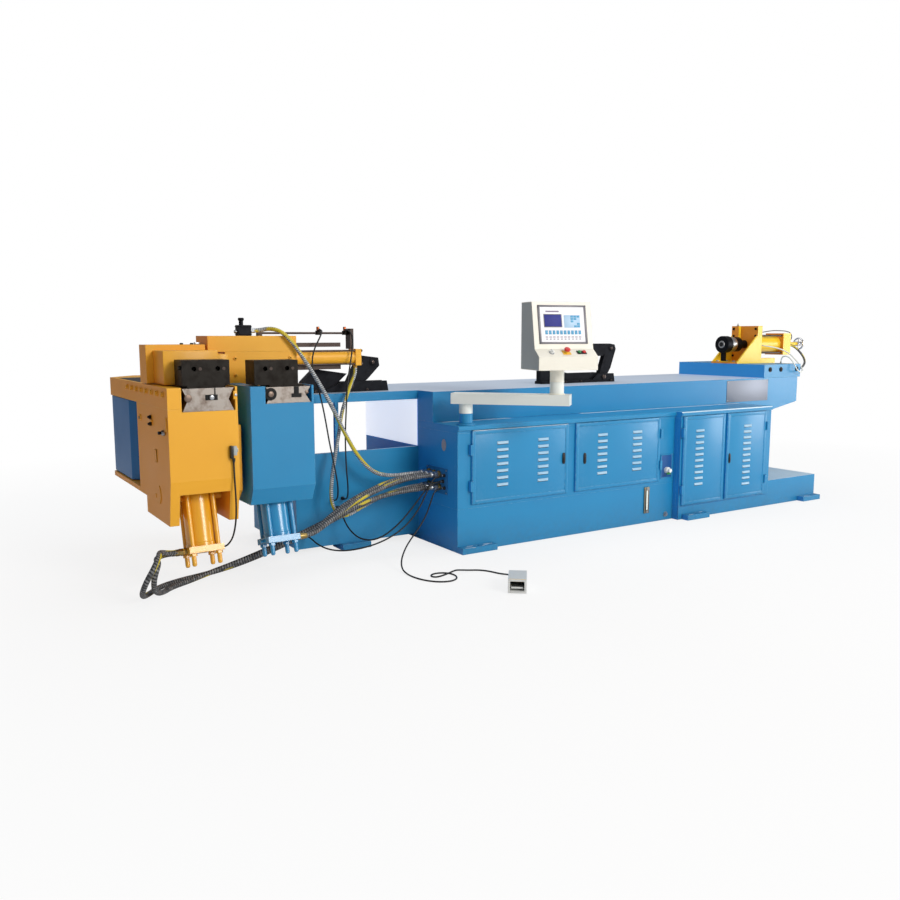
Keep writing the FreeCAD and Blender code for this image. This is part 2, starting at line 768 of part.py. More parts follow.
def swing_arm():
    """The C-shaped arm that turns about the spindle: head with its flange, roof and sole plates."""
    head = solid("arm_head")
    pad(head, "X", ARM_LEFT, ARM_RIGHT, [
        (FRONT, "arm_bevel_high"),
        (f"{FRONT} + arm_bevel_in", "arm_foot"),
        (f"{FRONT} + arm_step", "arm_foot"),
        (f"{FRONT} + arm_step", "arm_floor"),
        (ARM_BACK, "arm_floor"),
        (ARM_BACK, ARM_CEILING),
        (FRONT, ARM_CEILING),
    ])
    pad(head, "X", ARM_RIGHT, f"{ARM_RIGHT} + flange_width", [
        (f"{FRONT} + flange_from", "flange_low + flange_corner"),
        (f"{FRONT} + flange_from + flange_corner", "flange_low"),
        (f"{FRONT} + flange_to", "flange_low"),
        (f"{FRONT} + flange_to", "flange_high"),
        (f"{FRONT} + flange_from", "flange_high"),
    ])
    pocket(head, "X", f"{ARM_LEFT} + arm_wall", f"{ARM_RIGHT} - arm_wall", [
        (f"{FRONT} - 1", "arm_foot - 1"),
        (f"{FRONT} + arm_mouth", "arm_foot - 1"),
        (f"{FRONT} + arm_mouth", "arm_mouth_top"),
        (f"{FRONT} + arm_bevel_in", "arm_mouth_top"),
        (f"{FRONT} + arm_bevel_in", "arm_bevel_low"),
        (f"{FRONT} - 1", "arm_bevel_low"),
    ])
    channel(head, ARM_SLIDE_X, "arm_top", "slide_width", "slide_height", ARM_BACK)
    node(head, "arm_head")
    roof = solid("arm_roof")
    pad(roof, "Z", ARM_CEILING, "arm_top", arm_tail((ARM_LEFT, FRONT), (ARM_RIGHT, FRONT)))
    pocket(roof, "Z", ARM_CEILING, "arm_top", ((PIVOT_X, PIVOT_Y), "spindle_radius + running_gap"))
    channel(roof, ARM_SLIDE_X, "arm_top", "slide_width", "slide_height", ARM_BACK)
    node(roof, "arm_roof")
    extruded("arm_sole", "Z", "arm_floor", "arm_floor + arm_sole",
             arm_tail((ARM_LEFT, ARM_BACK), (ARM_RIGHT, ARM_BACK)),
             ((PIVOT_X, PIVOT_Y), "spindle_radius + running_gap"))
    slide("clamp_slide", ARM_SLIDE_X, "arm_top", "slide_width", "slide_height", "slide_length")
    die_block("clamp_die_block", ARM_SLIDE_X, ARM_SLIDE_X, "arm_top")
    box_low = "arm_top + slide_sink"
    box_from = f"{FRONT} + clamp_box_from"
    foot_left = f"{ARM_SLIDE_X} - slide_width / 2 + clamp_foot_inset"
    box = solid("clamp_box")
    pad(box, "Z", box_low, f"{box_low} + clamp_box_height", rectangle(
        (ARM_LEFT, box_from), (f"{ARM_LEFT} + clamp_box_width", f"{box_from} + clamp_box_depth")))
    pad(box, "Z", "arm_top - slide_sink", box_low, rectangle(
        (foot_left, box_from), (f"{foot_left} + clamp_foot_width", f"{FRONT} + slide_from + slide_length")))
    node(box, "clamp_box")
    sensor_left = f"{ARM_RIGHT} - arm_sensor_inset - arm_sensor_width"
    node(block("sensor_box", (sensor_left, f"{FRONT} - arm_sensor_depth", "arm_sensor_low"),
               (f"{sensor_left} + arm_sensor_width", FRONT, "arm_sensor_low + arm_sensor_height")), "arm_sensor")


def pressure_head():
    """The fixed head with its slide and die block."""
    head = solid("pressure_head")
    pad(head, "X", HEAD_LEFT, HEAD_RIGHT, [
        (FRONT, "head_bevel"),
        (f"{FRONT} + head_bevel_in", "head_bottom"),
        (HEAD_BACK, "head_bottom"),
        (HEAD_BACK, "head_top"),
        (FRONT, "head_top"),
    ])
    middle = f"({HEAD_LEFT} + {HEAD_RIGHT}) / 2"
    pocket(head, "Z", "head_bottom - 1", "head_bay_top", rectangle(
        (f"{middle} - head_bay_width / 2", f"{FRONT} + head_bay_from"),
        (f"{middle} + head_bay_width / 2", f"{FRONT} + head_bay_to")))
    channel(head, HEAD_SLIDE_X, "head_top", "pressure_slide_width", "pressure_slide_height", HEAD_BACK)
    node(head, "pressure_head")
    slide("pressure_slide", HEAD_SLIDE_X, "head_top", "pressure_slide_width", "pressure_slide_height",
          "pressure_slide_length")
    die_block("pressure_die_block", f"({HEAD_LEFT} + pressure_block_inset + die_block_width / 2)",
              HEAD_SLIDE_X, "head_top")


def booster():
    """The carriage and beam above the fixed head, with their valve, cylinder and guide rods."""
    low_y = f"{FRONT} + carriage_from"
    extruded("pressure_carriage", "Z", "head_top", BEAM_BOX_Z, rectangle(
        (HEAD_LEFT, low_y), (CARRIAGE_RIGHT, f"{low_y} + carriage_depth")))
    beam_top = f"{BEAM_BOX_Z} + top_beam_height"
    extruded("top_beam", "Z", BEAM_BOX_Z, beam_top, rectangle(
        (f"{HEAD_LEFT} - top_beam_over", low_y), (CARRIAGE_RIGHT, f"{low_y} + top_beam_depth")))
    valve_left = f"{HEAD_LEFT} + valve_place"
    valve_y = f"{low_y} + valve_setback"
    body = block("valve_body", (valve_left, valve_y, beam_top),
                 (f"{valve_left} + valve_width", f"{valve_y} + valve_depth", f"{beam_top} + valve_height"))
    knob = rod("valve_knob", "Z", (f"{valve_left} + valve_width / 3", f"{valve_y} + valve_depth / 2",
                                   f"{beam_top} + valve_height"), "knob_height", "knob_radius")
    port = rod("valve_port", "X", (f"{valve_left} + valve_width", f"{valve_y} + valve_depth / 2",
                                   f"{beam_top} + valve_height / 2"), "valve_port_length", "valve_port_radius")
    node(joined("valve", body, knob, port), "top_valve")
    middle_y = f"{low_y} + carriage_depth / 2"
    cap_left = f"{CARRIAGE_RIGHT} + booster_length"
    barrel = rod("barrel", "X", (CARRIAGE_RIGHT, middle_y, "booster_axis_z"), "booster_length", "booster_radius")
    cap = block("cap", (cap_left, f"{middle_y} - booster_cap / 2", "booster_axis_z - booster_cap / 2"),
                (f"{cap_left} + booster_cap_length", f"{middle_y} + booster_cap / 2",
                 "booster_axis_z + booster_cap / 2"))
    inlet = rod("inlet", "Z", (f"{cap_left} + booster_cap_length / 2", middle_y,
                               "booster_axis_z - booster_cap / 2 - booster_port_length"),
                "booster_port_length", "booster_port_radius")
    node(joined("booster", barrel, cap, inlet), "booster_cylinder")
    parts = []
    for index, (side_y, side_z) in enumerate(((-1, -1), (1, -1), (1, 1), (-1, 1))):
        parts.append(rod(f"booster_tie{index}", "X", (
            CARRIAGE_RIGHT,
            f"{middle_y} + {side_y} * booster_tie_reach",
            f"booster_axis_z + {side_z} * booster_tie_reach",
        ), "booster_length", "booster_tie_radius"))
    rod_y = f"{FRONT} + guide_rod_y"
    post_left = f"{CARRIAGE_RIGHT} - guide_rod_back"
    cap_top = "booster_axis_z + booster_cap / 2"
    pieces = [
        rod("guide", "X", (post_left, rod_y, "guide_rod_z"), span(post_left, f"{cap_left} + guide_bracket"),
            "guide_rod_radius"),
        block("guide_post", (f"{post_left} - guide_post", f"{rod_y} - guide_post", beam_top),
              (f"{post_left} + guide_post", f"{rod_y} + guide_post", "guide_rod_z + guide_post")),
        block("guide_bracket", (cap_left, f"{middle_y} + guide_bracket", cap_top),
              (f"{cap_left} + guide_bracket", f"{rod_y} + guide_post", "guide_rod_z + 2 * guide_post")),
    ]
    for index, along in enumerate(("sensor_place", "sensor_end_place")):
        sensor_x = f"{cap_left} - {along}"
        pieces.append(rod(f"sensor{index}", "Z", (sensor_x, rod_y, "guide_rod_z"), "sensor_height", "sensor_radius"))
        pieces.append(rod(f"sensor_exit{index}", "Y", (sensor_x, f"{rod_y} - sensor_exit", "guide_rod_z + 20"),
                          "sensor_exit", "sensor_radius - 2"))
    upper_bar = block("upper_bar", (CARRIAGE_RIGHT, f"{middle_y} - bar_depth / 2", f"{BEAM_BOX_Z} + bar_rise"),
                      (f"{cap_left} - bar_short", f"{middle_y} + bar_depth / 2",
                       f"{BEAM_BOX_Z} + bar_rise + bar_height"))
    lower_bar = block("lower_bar", (CARRIAGE_RIGHT, f"{middle_y} - bar_depth / 2", "head_top + low_bar_rise"),
                      (f"{cap_left} - bar_short", f"{middle_y} + bar_depth / 2",
                       "head_top + low_bar_rise + bar_height"))
    node(grouped("guides", joined("guide_bars", *pieces), upper_bar, lower_bar, *parts), "booster_guides")


def hanging_cylinder(label, centre_x, bay_width, side):
    """A tie-rod cylinder that hangs by its trunnion in a head, its foot leaning to the front.

    Its two hose ports stand out to one side, and a switch's gland to the other.
    """
    barrel = rod(label + "_barrel", "Z", ("0", "0", "-cylinder_length"), "cylinder_length", "cylinder_radius")
    cap_low = "-cylinder_length - cylinder_cap_length"
    cap = block(label + "_cap", ("-cylinder_cap / 2", "-cylinder_cap / 2", cap_low),
                ("cylinder_cap / 2", "cylinder_cap / 2", "-cylinder_length"))
    trunnion = rod(label + "_trunnion", "X", (f"-({bay_width}) / 2", "0", "-trunnion_drop"),
                   bay_width, "trunnion_radius")
    parts = [barrel, cap, trunnion]
    reach = "(cylinder_cap / 2 - tie_rod_inset)"
    for index, (side_x, side_y) in enumerate(((-1, -1), (1, -1), (1, 1), (-1, 1))):
        parts.append(rod(f"{label}_tie{index}", "Z", (
            f"{side_x} * {reach}", f"{side_y} * {reach}", f"{cap_low} - tie_rod_length"),
            "tie_rod_length + cylinder_cap_length + cylinder_length - 6", "tie_rod_radius"))
    middle = "(-cylinder_length - cylinder_cap_length / 2)"
    for name, facing, across, length, radius in (
        ("_front_port", side, "-cylinder_port_reach", "cylinder_port_length", "port_radius"),
        ("_back_port", side, "cylinder_port_reach", "cylinder_port_length", "port_radius"),
        ("_switch", -side, "0", "switch_length", "gland_radius"),
    ):
        start = "cylinder_cap / 2" if facing > 0 else f"-cylinder_cap / 2 - {length}"
        parts.append(rod(label + name, "X", (start, across, middle), length, radius))
    whole = joined(label + "_whole", *parts)
    whole.Placement = Placement(Vector(), Rotation(Vector(-1, 0, 0), 10))
    place(whole, centre_x, f"{FRONT} + cylinder_top_y", "cylinder_top_z")
    bind(whole, "Placement.Rotation.Angle", "cylinder_tilt")
    return node(whole, label)


def console():
    """The operator's console on its two-joint swinging arm."""
    pivot = f"{LEFT} + console_pivot_x"
    pivot_y = f"{FRONT} + console_pivot_y"
    top = f"{BED_BOTTOM} + console_post_height"
    post = rod("post", "Z", (pivot, pivot_y, BED_BOTTOM), "console_post_height", "console_tube")
    spigot = rod("spigot", "Z", (pivot, pivot_y, top), "console_collar", "console_spigot")
    node(joined("pivot_post", post, spigot), "console_pivot_post")
    arm_low = f"{top} + console_collar + face_gap"
    collar = less("collar", rod("collar_tube", "Z", (pivot, pivot_y, f"{top} + face_gap"),
                                "console_collar", "console_tube"),
                  rod("collar_bore", "Z", (pivot, pivot_y, f"{top} + face_gap - 1"),
                      "console_collar + 1", "console_spigot + running_gap"))
    bar = block("bar", ("-console_arm_over", "-console_arm_width / 2", "0"),
                ("console_arm_length + console_arm_over", "console_arm_width / 2", "console_arm_height"))
    arm = grouped("arm_turned", bar)
    arm.Placement = Placement(Vector(), Rotation(Vector(0, 0, -1), 10))
    place(arm, pivot, pivot_y, arm_low)
    bind(arm, "Placement.Rotation.Angle", "console_arm_angle")
    head_x = f"{pivot} + console_arm_length * cos(console_arm_angle)"
    head_y = f"{pivot_y} - console_arm_length * sin(console_arm_angle)"
    stem_low = f"{arm_low} + console_arm_height"
    stem = rod("stem", "Z", (head_x, head_y, stem_low), "console_stem", "console_tube")
    stem_pin = rod("stem_pin", "Z", (head_x, head_y, f"{stem_low} + console_stem"),
                   "console_neck - console_neck_wall", "console_spigot")
    node(joined("arm_whole", collar, arm, stem, stem_pin), "console_arm")
    neck_low = f"{stem_low} + console_stem + face_gap"
    neck = less("neck", rod("neck_tube", "Z", (head_x, head_y, neck_low), "console_neck", "console_tube"),
                rod("neck_bore", "Z", (head_x, head_y, f"{neck_low} - 1"),
                    "console_neck - console_neck_wall + 2", "console_spigot + running_gap"))
    case = solid("case")
    front = "console_back - console_depth"
    pad(case, "X", "-console_width / 2", "console_width / 2", [
        (f"{front} - console_chin", "0"),
        ("console_back", "0"),
        ("console_back", "console_height"),
        (f"{front} + console_slope", "console_height"),
        (f"{front} + console_slope / 3", "console_height * 0.31"),
        (f"{front} - console_chin", "console_height * 0.2"),
    ])
    turned = grouped("case_turned", case)
    turned.Placement = Placement(Vector(), Rotation(Vector(0, 0, -1), 10))
    place(turned, head_x, head_y, f"{neck_low} + console_neck")
    bind(turned, "Placement.Rotation.Angle", "console_turn")
    node(joined("console_whole", neck, turned), "console_case")


# Each support's pin place, then outlines along the bed and up: its cheeks and its rest arm from the
# cabinet's left end and the bed's top, its lever from the pin, and where its cradle lies on the lever
SUPPORTS = {
    "support_a": (
        -460,
        [(-807, 0), (-175, 0), (-187, 68), (-520, 68), (-640, 22), (-807, 22)],
        [(-807, 0), (-580, 0), (-551, 62), (-482, 122), (-716, 158), (-807, 73)],
        [(-24, -24), (24, -24), (134, 39), (228, 131), (220, 186), (75, 204), (-30, 0)],
        (110, 190, 160),
    ),
    "support_b": (
        1824,
        [(1180, 0), (1942, 0), (1930, 68), (1760, 68), (1700, 22), (1180, 22)],
        [(1180, 0), (1770, 0), (1770, 78), (1460, 78), (1290, 112), (1180, 112)],
        [(-26, -22), (26, -22), (90, 72), (144, 225), (130, 262), (78, 270), (-126, 270), (-126, 226),
         (-66, 198), (22, 182), (-14, 74), (-34, 10)],
        (-60, 10, 170),
    ),
}


def tube_supports():
    """Folding tube supports: two cheeks with a rest arm between, and a lever on the pin."""
    low_y = f"{FRONT} + support_centre - support_width / 2"
    high_y = f"{FRONT} + support_centre + support_width / 2"
    inner_low = f"{low_y} + support_cheek"
    inner_high = f"{high_y} - support_cheek"
    pin_z = "(bed_top + support_pin_z)"
    bases = []
    for tag, (pin, cheek_outline, rest_outline, lever_outline, cradle) in SUPPORTS.items():
        pin_x = f"({LEFT} + {pin})"
        pieces = [rod(f"{tag}_pin", "Y", (pin_x, low_y, pin_z), "support_width", "support_pin_radius")]
        for name, start, end, outline in (
            ("near", low_y, inner_low, cheek_outline),
            ("far", inner_high, high_y, cheek_outline),
            ("rest", inner_low, inner_high, rest_outline),
        ):
            piece = solid(f"{tag}_{name}")
            pad(piece, "Y", start, end, [(f"{LEFT} + ({across})", f"bed_top + {up}") for across, up in outline])
            pieces.append(piece)
        bases.append(joined(f"{tag}_base", *pieces))
        lever = solid(f"{tag}_lever")
        lever_low = f"{inner_low} + support_gap"
        pad(lever, "Y", lever_low, f"{inner_high} - support_gap",
            [(f"{pin_x} + ({across})", f"{pin_z} + ({up})") for across, up in lever_outline])
        left, right, low = cradle
        pad(lever, "Y", lever_low, f"{FRONT} + cradle_reach", rectangle(
            (f"{pin_x} + ({left})", f"{pin_z} + {low}"),
            (f"{pin_x} + ({right})", f"{pin_z} + {low} + cradle_thick")))
        pocket(lever, "Y", low_y, high_y, ((pin_x, pin_z), "support_pin_radius + running_gap"))
        node(lever, f"{tag}_lever")
    node(grouped("support_base_pair", *bases), "support_bases")


def mandrel():
    """The mandrel carriage on the rear block: bracket, cylinder, rod with its chuck, and handwheel."""
    low_y = f"{FRONT} + mandrel_from"
    high_y = f"{low_y} + mandrel_width"
    mid_y = f"{low_y} + mandrel_width / 2"
    right = f"{BLOCK_LEFT} + mandrel_base_length"
    floor = f"{BLOCK_TOP} + mandrel_plate"
    face = f"{BLOCK_LEFT} + upright_place"
    back_face = f"{face} + upright_thick"
    body = solid("mandrel_bracket")
    pad(body, "Z", BLOCK_TOP, floor, rectangle((BLOCK_LEFT, low_y), (right, high_y)))
    pad(body, "X", face, back_face, rectangle((low_y, floor), (high_y, f"{floor} + upright_height")))
    for start in (low_y, f"{high_y} - mandrel_plate"):
        pad(body, "Y", start, f"{start} + mandrel_plate", [
            (f"{BLOCK_LEFT} + gusset_inset", floor),
            (face, floor),
            (face, f"{floor} + gusset_height"),
        ])
    for start in (low_y, f"{high_y} - rear_rail"):
        pad(body, "Z", floor, f"{floor} + rear_rail / 2", rectangle(
            (back_face, start), (right, f"{start} + rear_rail")))
    pad(body, "X", f"{face} - stop_bar_thick", face, rectangle(
        (f"{mid_y} + stop_bar_place", "tube_axis_z - stop_bar_drop"),
        (f"{mid_y} + stop_bar_place + stop_bar_width", f"{floor} + upright_height")))
    pocket(body, "X", f"{face} - 1", f"{back_face} + 1",
           ((mid_y, "tube_axis_z"), "mandrel_rod_radius + running_gap"))
    node(body, "mandrel_bracket")
    half_cap = "mandrel_cap / 2"
    front_cap = block("front_cap", (back_face, f"{mid_y} - {half_cap}", f"tube_axis_z - {half_cap}"),
                      (f"{back_face} + mandrel_cap_length", f"{mid_y} + {half_cap}", f"tube_axis_z + {half_cap}"))
    barrel_left = f"{back_face} + mandrel_cap_length"
    tube = rod("tube", "X", (barrel_left, mid_y, "tube_axis_z"), "mandrel_barrel_length", "mandrel_barrel")
    end = f"{barrel_left} + mandrel_barrel_length"
    cap_end = f"{end} + mandrel_end_cap_length"
    rear_cap = block("rear_cap", (end, f"{mid_y} - {half_cap}", f"tube_axis_z - {half_cap}"),
                     (cap_end, f"{mid_y} + {half_cap}", f"tube_axis_z + {half_cap}"))
    screw = rod("screw", "X", (cap_end, mid_y, "tube_axis_z"), "wheel_gap - face_gap", "wheel_screw")
    bore = rod("rod_bore", "X", (f"{back_face} - 1", mid_y, "tube_axis_z"),
               "mandrel_cap_length + mandrel_barrel_length", "mandrel_rod_radius + running_gap")
    node(less("mandrel_cyl", joined("mandrel_cyl_whole", front_cap, tube, rear_cap, screw), bore),
         "mandrel_cylinder")
    chuck_left = f"{BLOCK_LEFT} - chuck_reach"
    chuck_right = f"{chuck_left} + chuck_length"
    disc = rod("disc", "X", (chuck_left, mid_y, "tube_axis_z"), "chuck_length", "chuck_radius")
    barrel = rod("chuck_barrel", "X", (f"{chuck_right} + chuck_groove", mid_y, "tube_axis_z"),
                 "chuck_barrel_length", "chuck_barrel")
    shaft = rod("mandrel_shaft", "X", (chuck_right, mid_y, "tube_axis_z"),
                span(chuck_right, f"{back_face} + mandrel_rod_back"), "mandrel_rod_radius")
    leg_left = f"{chuck_left} + leg_inset"
    leg = block("chuck_leg", (leg_left, f"{mid_y} - leg_width / 2", f"{floor} + leg_gap"),
                (f"{leg_left} + leg_length", f"{mid_y} + leg_width / 2", "tube_axis_z - chuck_radius + leg_sink"))
    socket = rod("socket", "X", (f"{chuck_left} - 1", mid_y, "tube_axis_z"), "socket_depth + 1", "socket_radius")
    node(less("rod_whole", joined("rod_solid", disc, barrel, shaft, leg), socket), "mandrel_rod")
    start = f"{cap_end} + wheel_gap"
    rim_x = f"{start} + wheel_depth / 2"
    hub = rod("hub", "X", (start, mid_y, "tube_axis_z"), "wheel_depth", "wheel_hub")
    rim = less("rim", rod("rim_outer", "X", (rim_x, mid_y, "tube_axis_z"), "wheel_rim", "wheel_radius"),
               rod("rim_inner", "X", (f"{rim_x} - 1", mid_y, "tube_axis_z"), "wheel_rim + 2",
                   "wheel_radius - wheel_rim"))
    spoke_x = f"({rim_x} + wheel_rim / 2)"
    reach = "(wheel_radius - wheel_rim / 2)"
    across = rod("across", "Y", (spoke_x, f"{mid_y} - {reach}", "tube_axis_z"), f"2 * {reach}", "wheel_spoke")
    upright = rod("upright", "Z", (spoke_x, mid_y, f"tube_axis_z - {reach}"), f"2 * {reach}", "wheel_spoke")
    node(joined("wheel", hub, rim, across, upright), "handwheel")


def floor_pads():
    """Foot plates, in front of and behind the machine, with a floor anchor's hole in each."""
    parts = []
    for tag, left, length, face in (
        ("left", LEFT, "left_pad_length", FRONT),
        ("middle", f"{STEP_X} + middle_pad_from", "middle_pad_length", STEP_Y),
        ("right", f"{RIGHT} + rear_base_length - right_pad_length", "right_pad_length", STEP_Y),
    ):
        for side, low, high in (("front", f"{face} - pad_out", face), ("back", BACK, f"{BACK} + pad_out")):
            plate = block(f"{tag}_{side}", (left, low, "0"), (f"{left} + {length}", high, "pad_height"))
            hole = rod(f"{tag}_{side}_hole", "Z", (f"{left} + {length} / 2", f"({low} + {high}) / 2", "-1"),
                       "pad_height + 2", "pad_hole_radius")
            parts.append(less(f"{tag}_{side}_pad", plate, hole))
    left = f"{BEAM_LEFT} + beam_foot_place"
    right = f"{left} + beam_foot_length"
    parts.append(block("beam_front_foot", (left, f"{BEAM_FRONT} - beam_foot_out", "0"),
                       (right, f"{BEAM_FRONT} + beam_foot_in", "pad_height")))
    parts.append(block("beam_back_foot", (left, f"{BACK} - beam_foot_in", "0"),
                       (right, f"{BACK} + beam_foot_out", "pad_height")))
    node(grouped("pads", *parts), "floor_pads")


# Hose ports on the left end face, as places across and up, then cable glands
PORTS = [(215, 500), (280, 500), (345, 500), (215, 415), (280, 415), (345, 415)]
GLANDS = [(150, 415), (165, 458), (150, 500)]
# Cable glands on the front of the beam's skirt, as places along and up
SKIRT_GLANDS = [(-670, 350), (-590, 350), (-630, 290), (-860, 130)]


def fittings():
    """Screwed ports and cable glands that the hoses and cables come out of."""
    parts = [
        rod(f"port{index}", "X", (f"{LEFT} - port_length", f"{FRONT} + {across}", f"{up}"),
            "port_length", "port_radius")
        for index, (across, up) in enumerate(PORTS)
    ]
    parts += [
        rod(f"gland{index}", "X", (f"{LEFT} - port_length / 2", f"{FRONT} + {across}", f"{up}"),
            "port_length / 2", "gland_radius")
        for index, (across, up) in enumerate(GLANDS)
    ]
    parts += [
        rod(f"skirt_gland{index}", "Y", (f"{LEFT} + ({along})", f"{BEAM_FRONT} - gland_length", f"{up}"),
            "gland_length", "gland_radius")
        for index, (along, up) in enumerate(SKIRT_GLANDS)
    ]
    front_face = f"{FRONT} + mandrel_from + mandrel_width / 2 - mandrel_cap / 2"
    cap_left = f"{BLOCK_LEFT} + upright_place + upright_thick"
    end_face = f"{cap_left} + mandrel_cap_length + mandrel_barrel_length + mandrel_end_cap_length"
    parts.append(rod("block_port", "X", (BLOCK_RIGHT, f"{FRONT} + 420", "1110"), "gland_length", "13"))
    parts.append(rod("block_gland", "Z", (f"{LEFT} + 3830", f"{FRONT} + 420", BLOCK_TOP), "18", "gland_radius"))
    parts.append(rod("cap_gland", "Y", (f"{cap_left} + mandrel_cap_length / 2", f"{front_face} - 20.5", "1330"),
                     "20.5", "gland_radius"))
    parts.append(rod("end_port", "X", (end_face, f"{FRONT} + 700", "1333"), "gland_length", "13"))
    parts.append(rod("end_gland", "X", (end_face, f"{FRONT} + 690", "1374"), "16", "gland_radius - 2"))
    mid_y = f"{FRONT} + mandrel_from + mandrel_width / 2"
    barrel_top = "tube_axis_z + mandrel_barrel"
    sensor_right = f"{LEFT} + 3945"
    parts.append(block("barrel_sensor", (f"{sensor_right} - 30", f"{mid_y} - 15", barrel_top),
                       (sensor_right, f"{mid_y} + 15", f"{barrel_top} + 56")))
    parts.append(rod("barrel_sensor_exit", "X", (sensor_right, mid_y, "1455"), "5", "6"))
    node(grouped("ports", *parts), "fittings")


def foot_pedal():
    """The foot switch on the floor: a hooded box, open to the front, with its treadle inside."""
    half = "pedal_width / 2"
    end = "pedal_length / 2"
    hood = block("pedal_hood", (f"-{half}", f"-{end}", "0"), (half, end, "pedal_height"))
    mouth = block("pedal_mouth", (f"-{half} + pedal_wall", f"-{end} - 1", "pedal_wall"),
                  (f"{half} - pedal_wall", f"{end} - 3 * pedal_wall", "pedal_height - pedal_wall"))
    treadle = block("treadle", (f"-{half} + 1.5 * pedal_wall", f"-{end} + pedal_wall", "2 * pedal_wall"),
                    (f"{half} - 1.5 * pedal_wall", f"{end} - 3 * pedal_wall", "2 * pedal_wall + treadle_height"))
    entry = rod("pedal_gland", "Y", ("-35", end, "30"), "pedal_entry", "gland_radius")
    whole = joined("pedal_whole", less("pedal_shell", hood, mouth), treadle, entry)
    whole.Placement = Placement(Vector(), Rotation(Vector(0, 0, -1), 10))
    place(whole, f"{LEFT} + pedal_x", f"{FRONT} + pedal_y", "0")
    bind(whole, "Placement.Rotation.Angle", "pedal_turn")
    return node(whole, "foot_pedal")


def route_path(points):
    """A wire of straight runs joined by the widest arcs that fit, and those arcs' radii."""
    corners = [Vector(*point) for point in points]
    edges = []
    radii = []
    start = corners[0]
    for before, corner, after in zip(corners, corners[1:], corners[2:]):
        into = corner - before
        out = after - corner
        reach = 0.45 * min(into.Length, out.Length)
        half_turn = into.getAngle(out) / 2
        radius = reach / math.tan(half_turn)
        enter = corner - into.normalize() * reach
        leave = corner + out.normalize() * reach
        inward = (out - into).normalize()
        middle = corner + inward * (radius / math.cos(half_turn) - radius)
        edges.append(Part.LineSegment(start, enter).toShape())
        edges.append(Part.Arc(enter, middle, leave).toShape())
        radii.append(radius)
        start = leave
    edges.append(Part.LineSegment(start, corners[-1]).toShape())
    return Part.Wire(edges), radii


def cord(label, size, points):
    """A hose or cable as a plain eight-sided tube along its route, placed from the cabinet's corner."""
    diameter = SIZES[size]
    path, radii = route_path(points)
    section = math.pi * diameter ** 2 / 4
    first = Vector(*points[0])
    along = Vector(*points[1]) - first
    side = along.cross(Vector(0, 0, 1) if abs(along.z) < along.Length / 2 else Vector(1, 0, 0))
    turn = Rotation(along, 45)
    # The corners stand out as far as gives the eight sides the round section's area
    spoke = turn.multVec(side).normalize() * math.sqrt(section / (2 * math.sqrt(2)))
    corners = []
    for _ in range(8):
        corners.append(first + spoke)
        spoke = turn.multVec(spoke)
    ring = Part.makePolygon(corners + corners[:1])
    tube = path.makePipeShell([ring], True, False)
    if abs(tube.Volume / (section * path.Length) - 1) > 0.01:
        raise RuntimeError(f"{label} doesn't hold its section along its route")
    item = doc.addObject("Part::Feature", label)
    item.Shape = tube
    place(item, LEFT, FRONT, "0")
    print(f"{label}: {path.Length:.0f} mm long, tightest bend {min(radii):.0f} mm")
    return node(item, label)


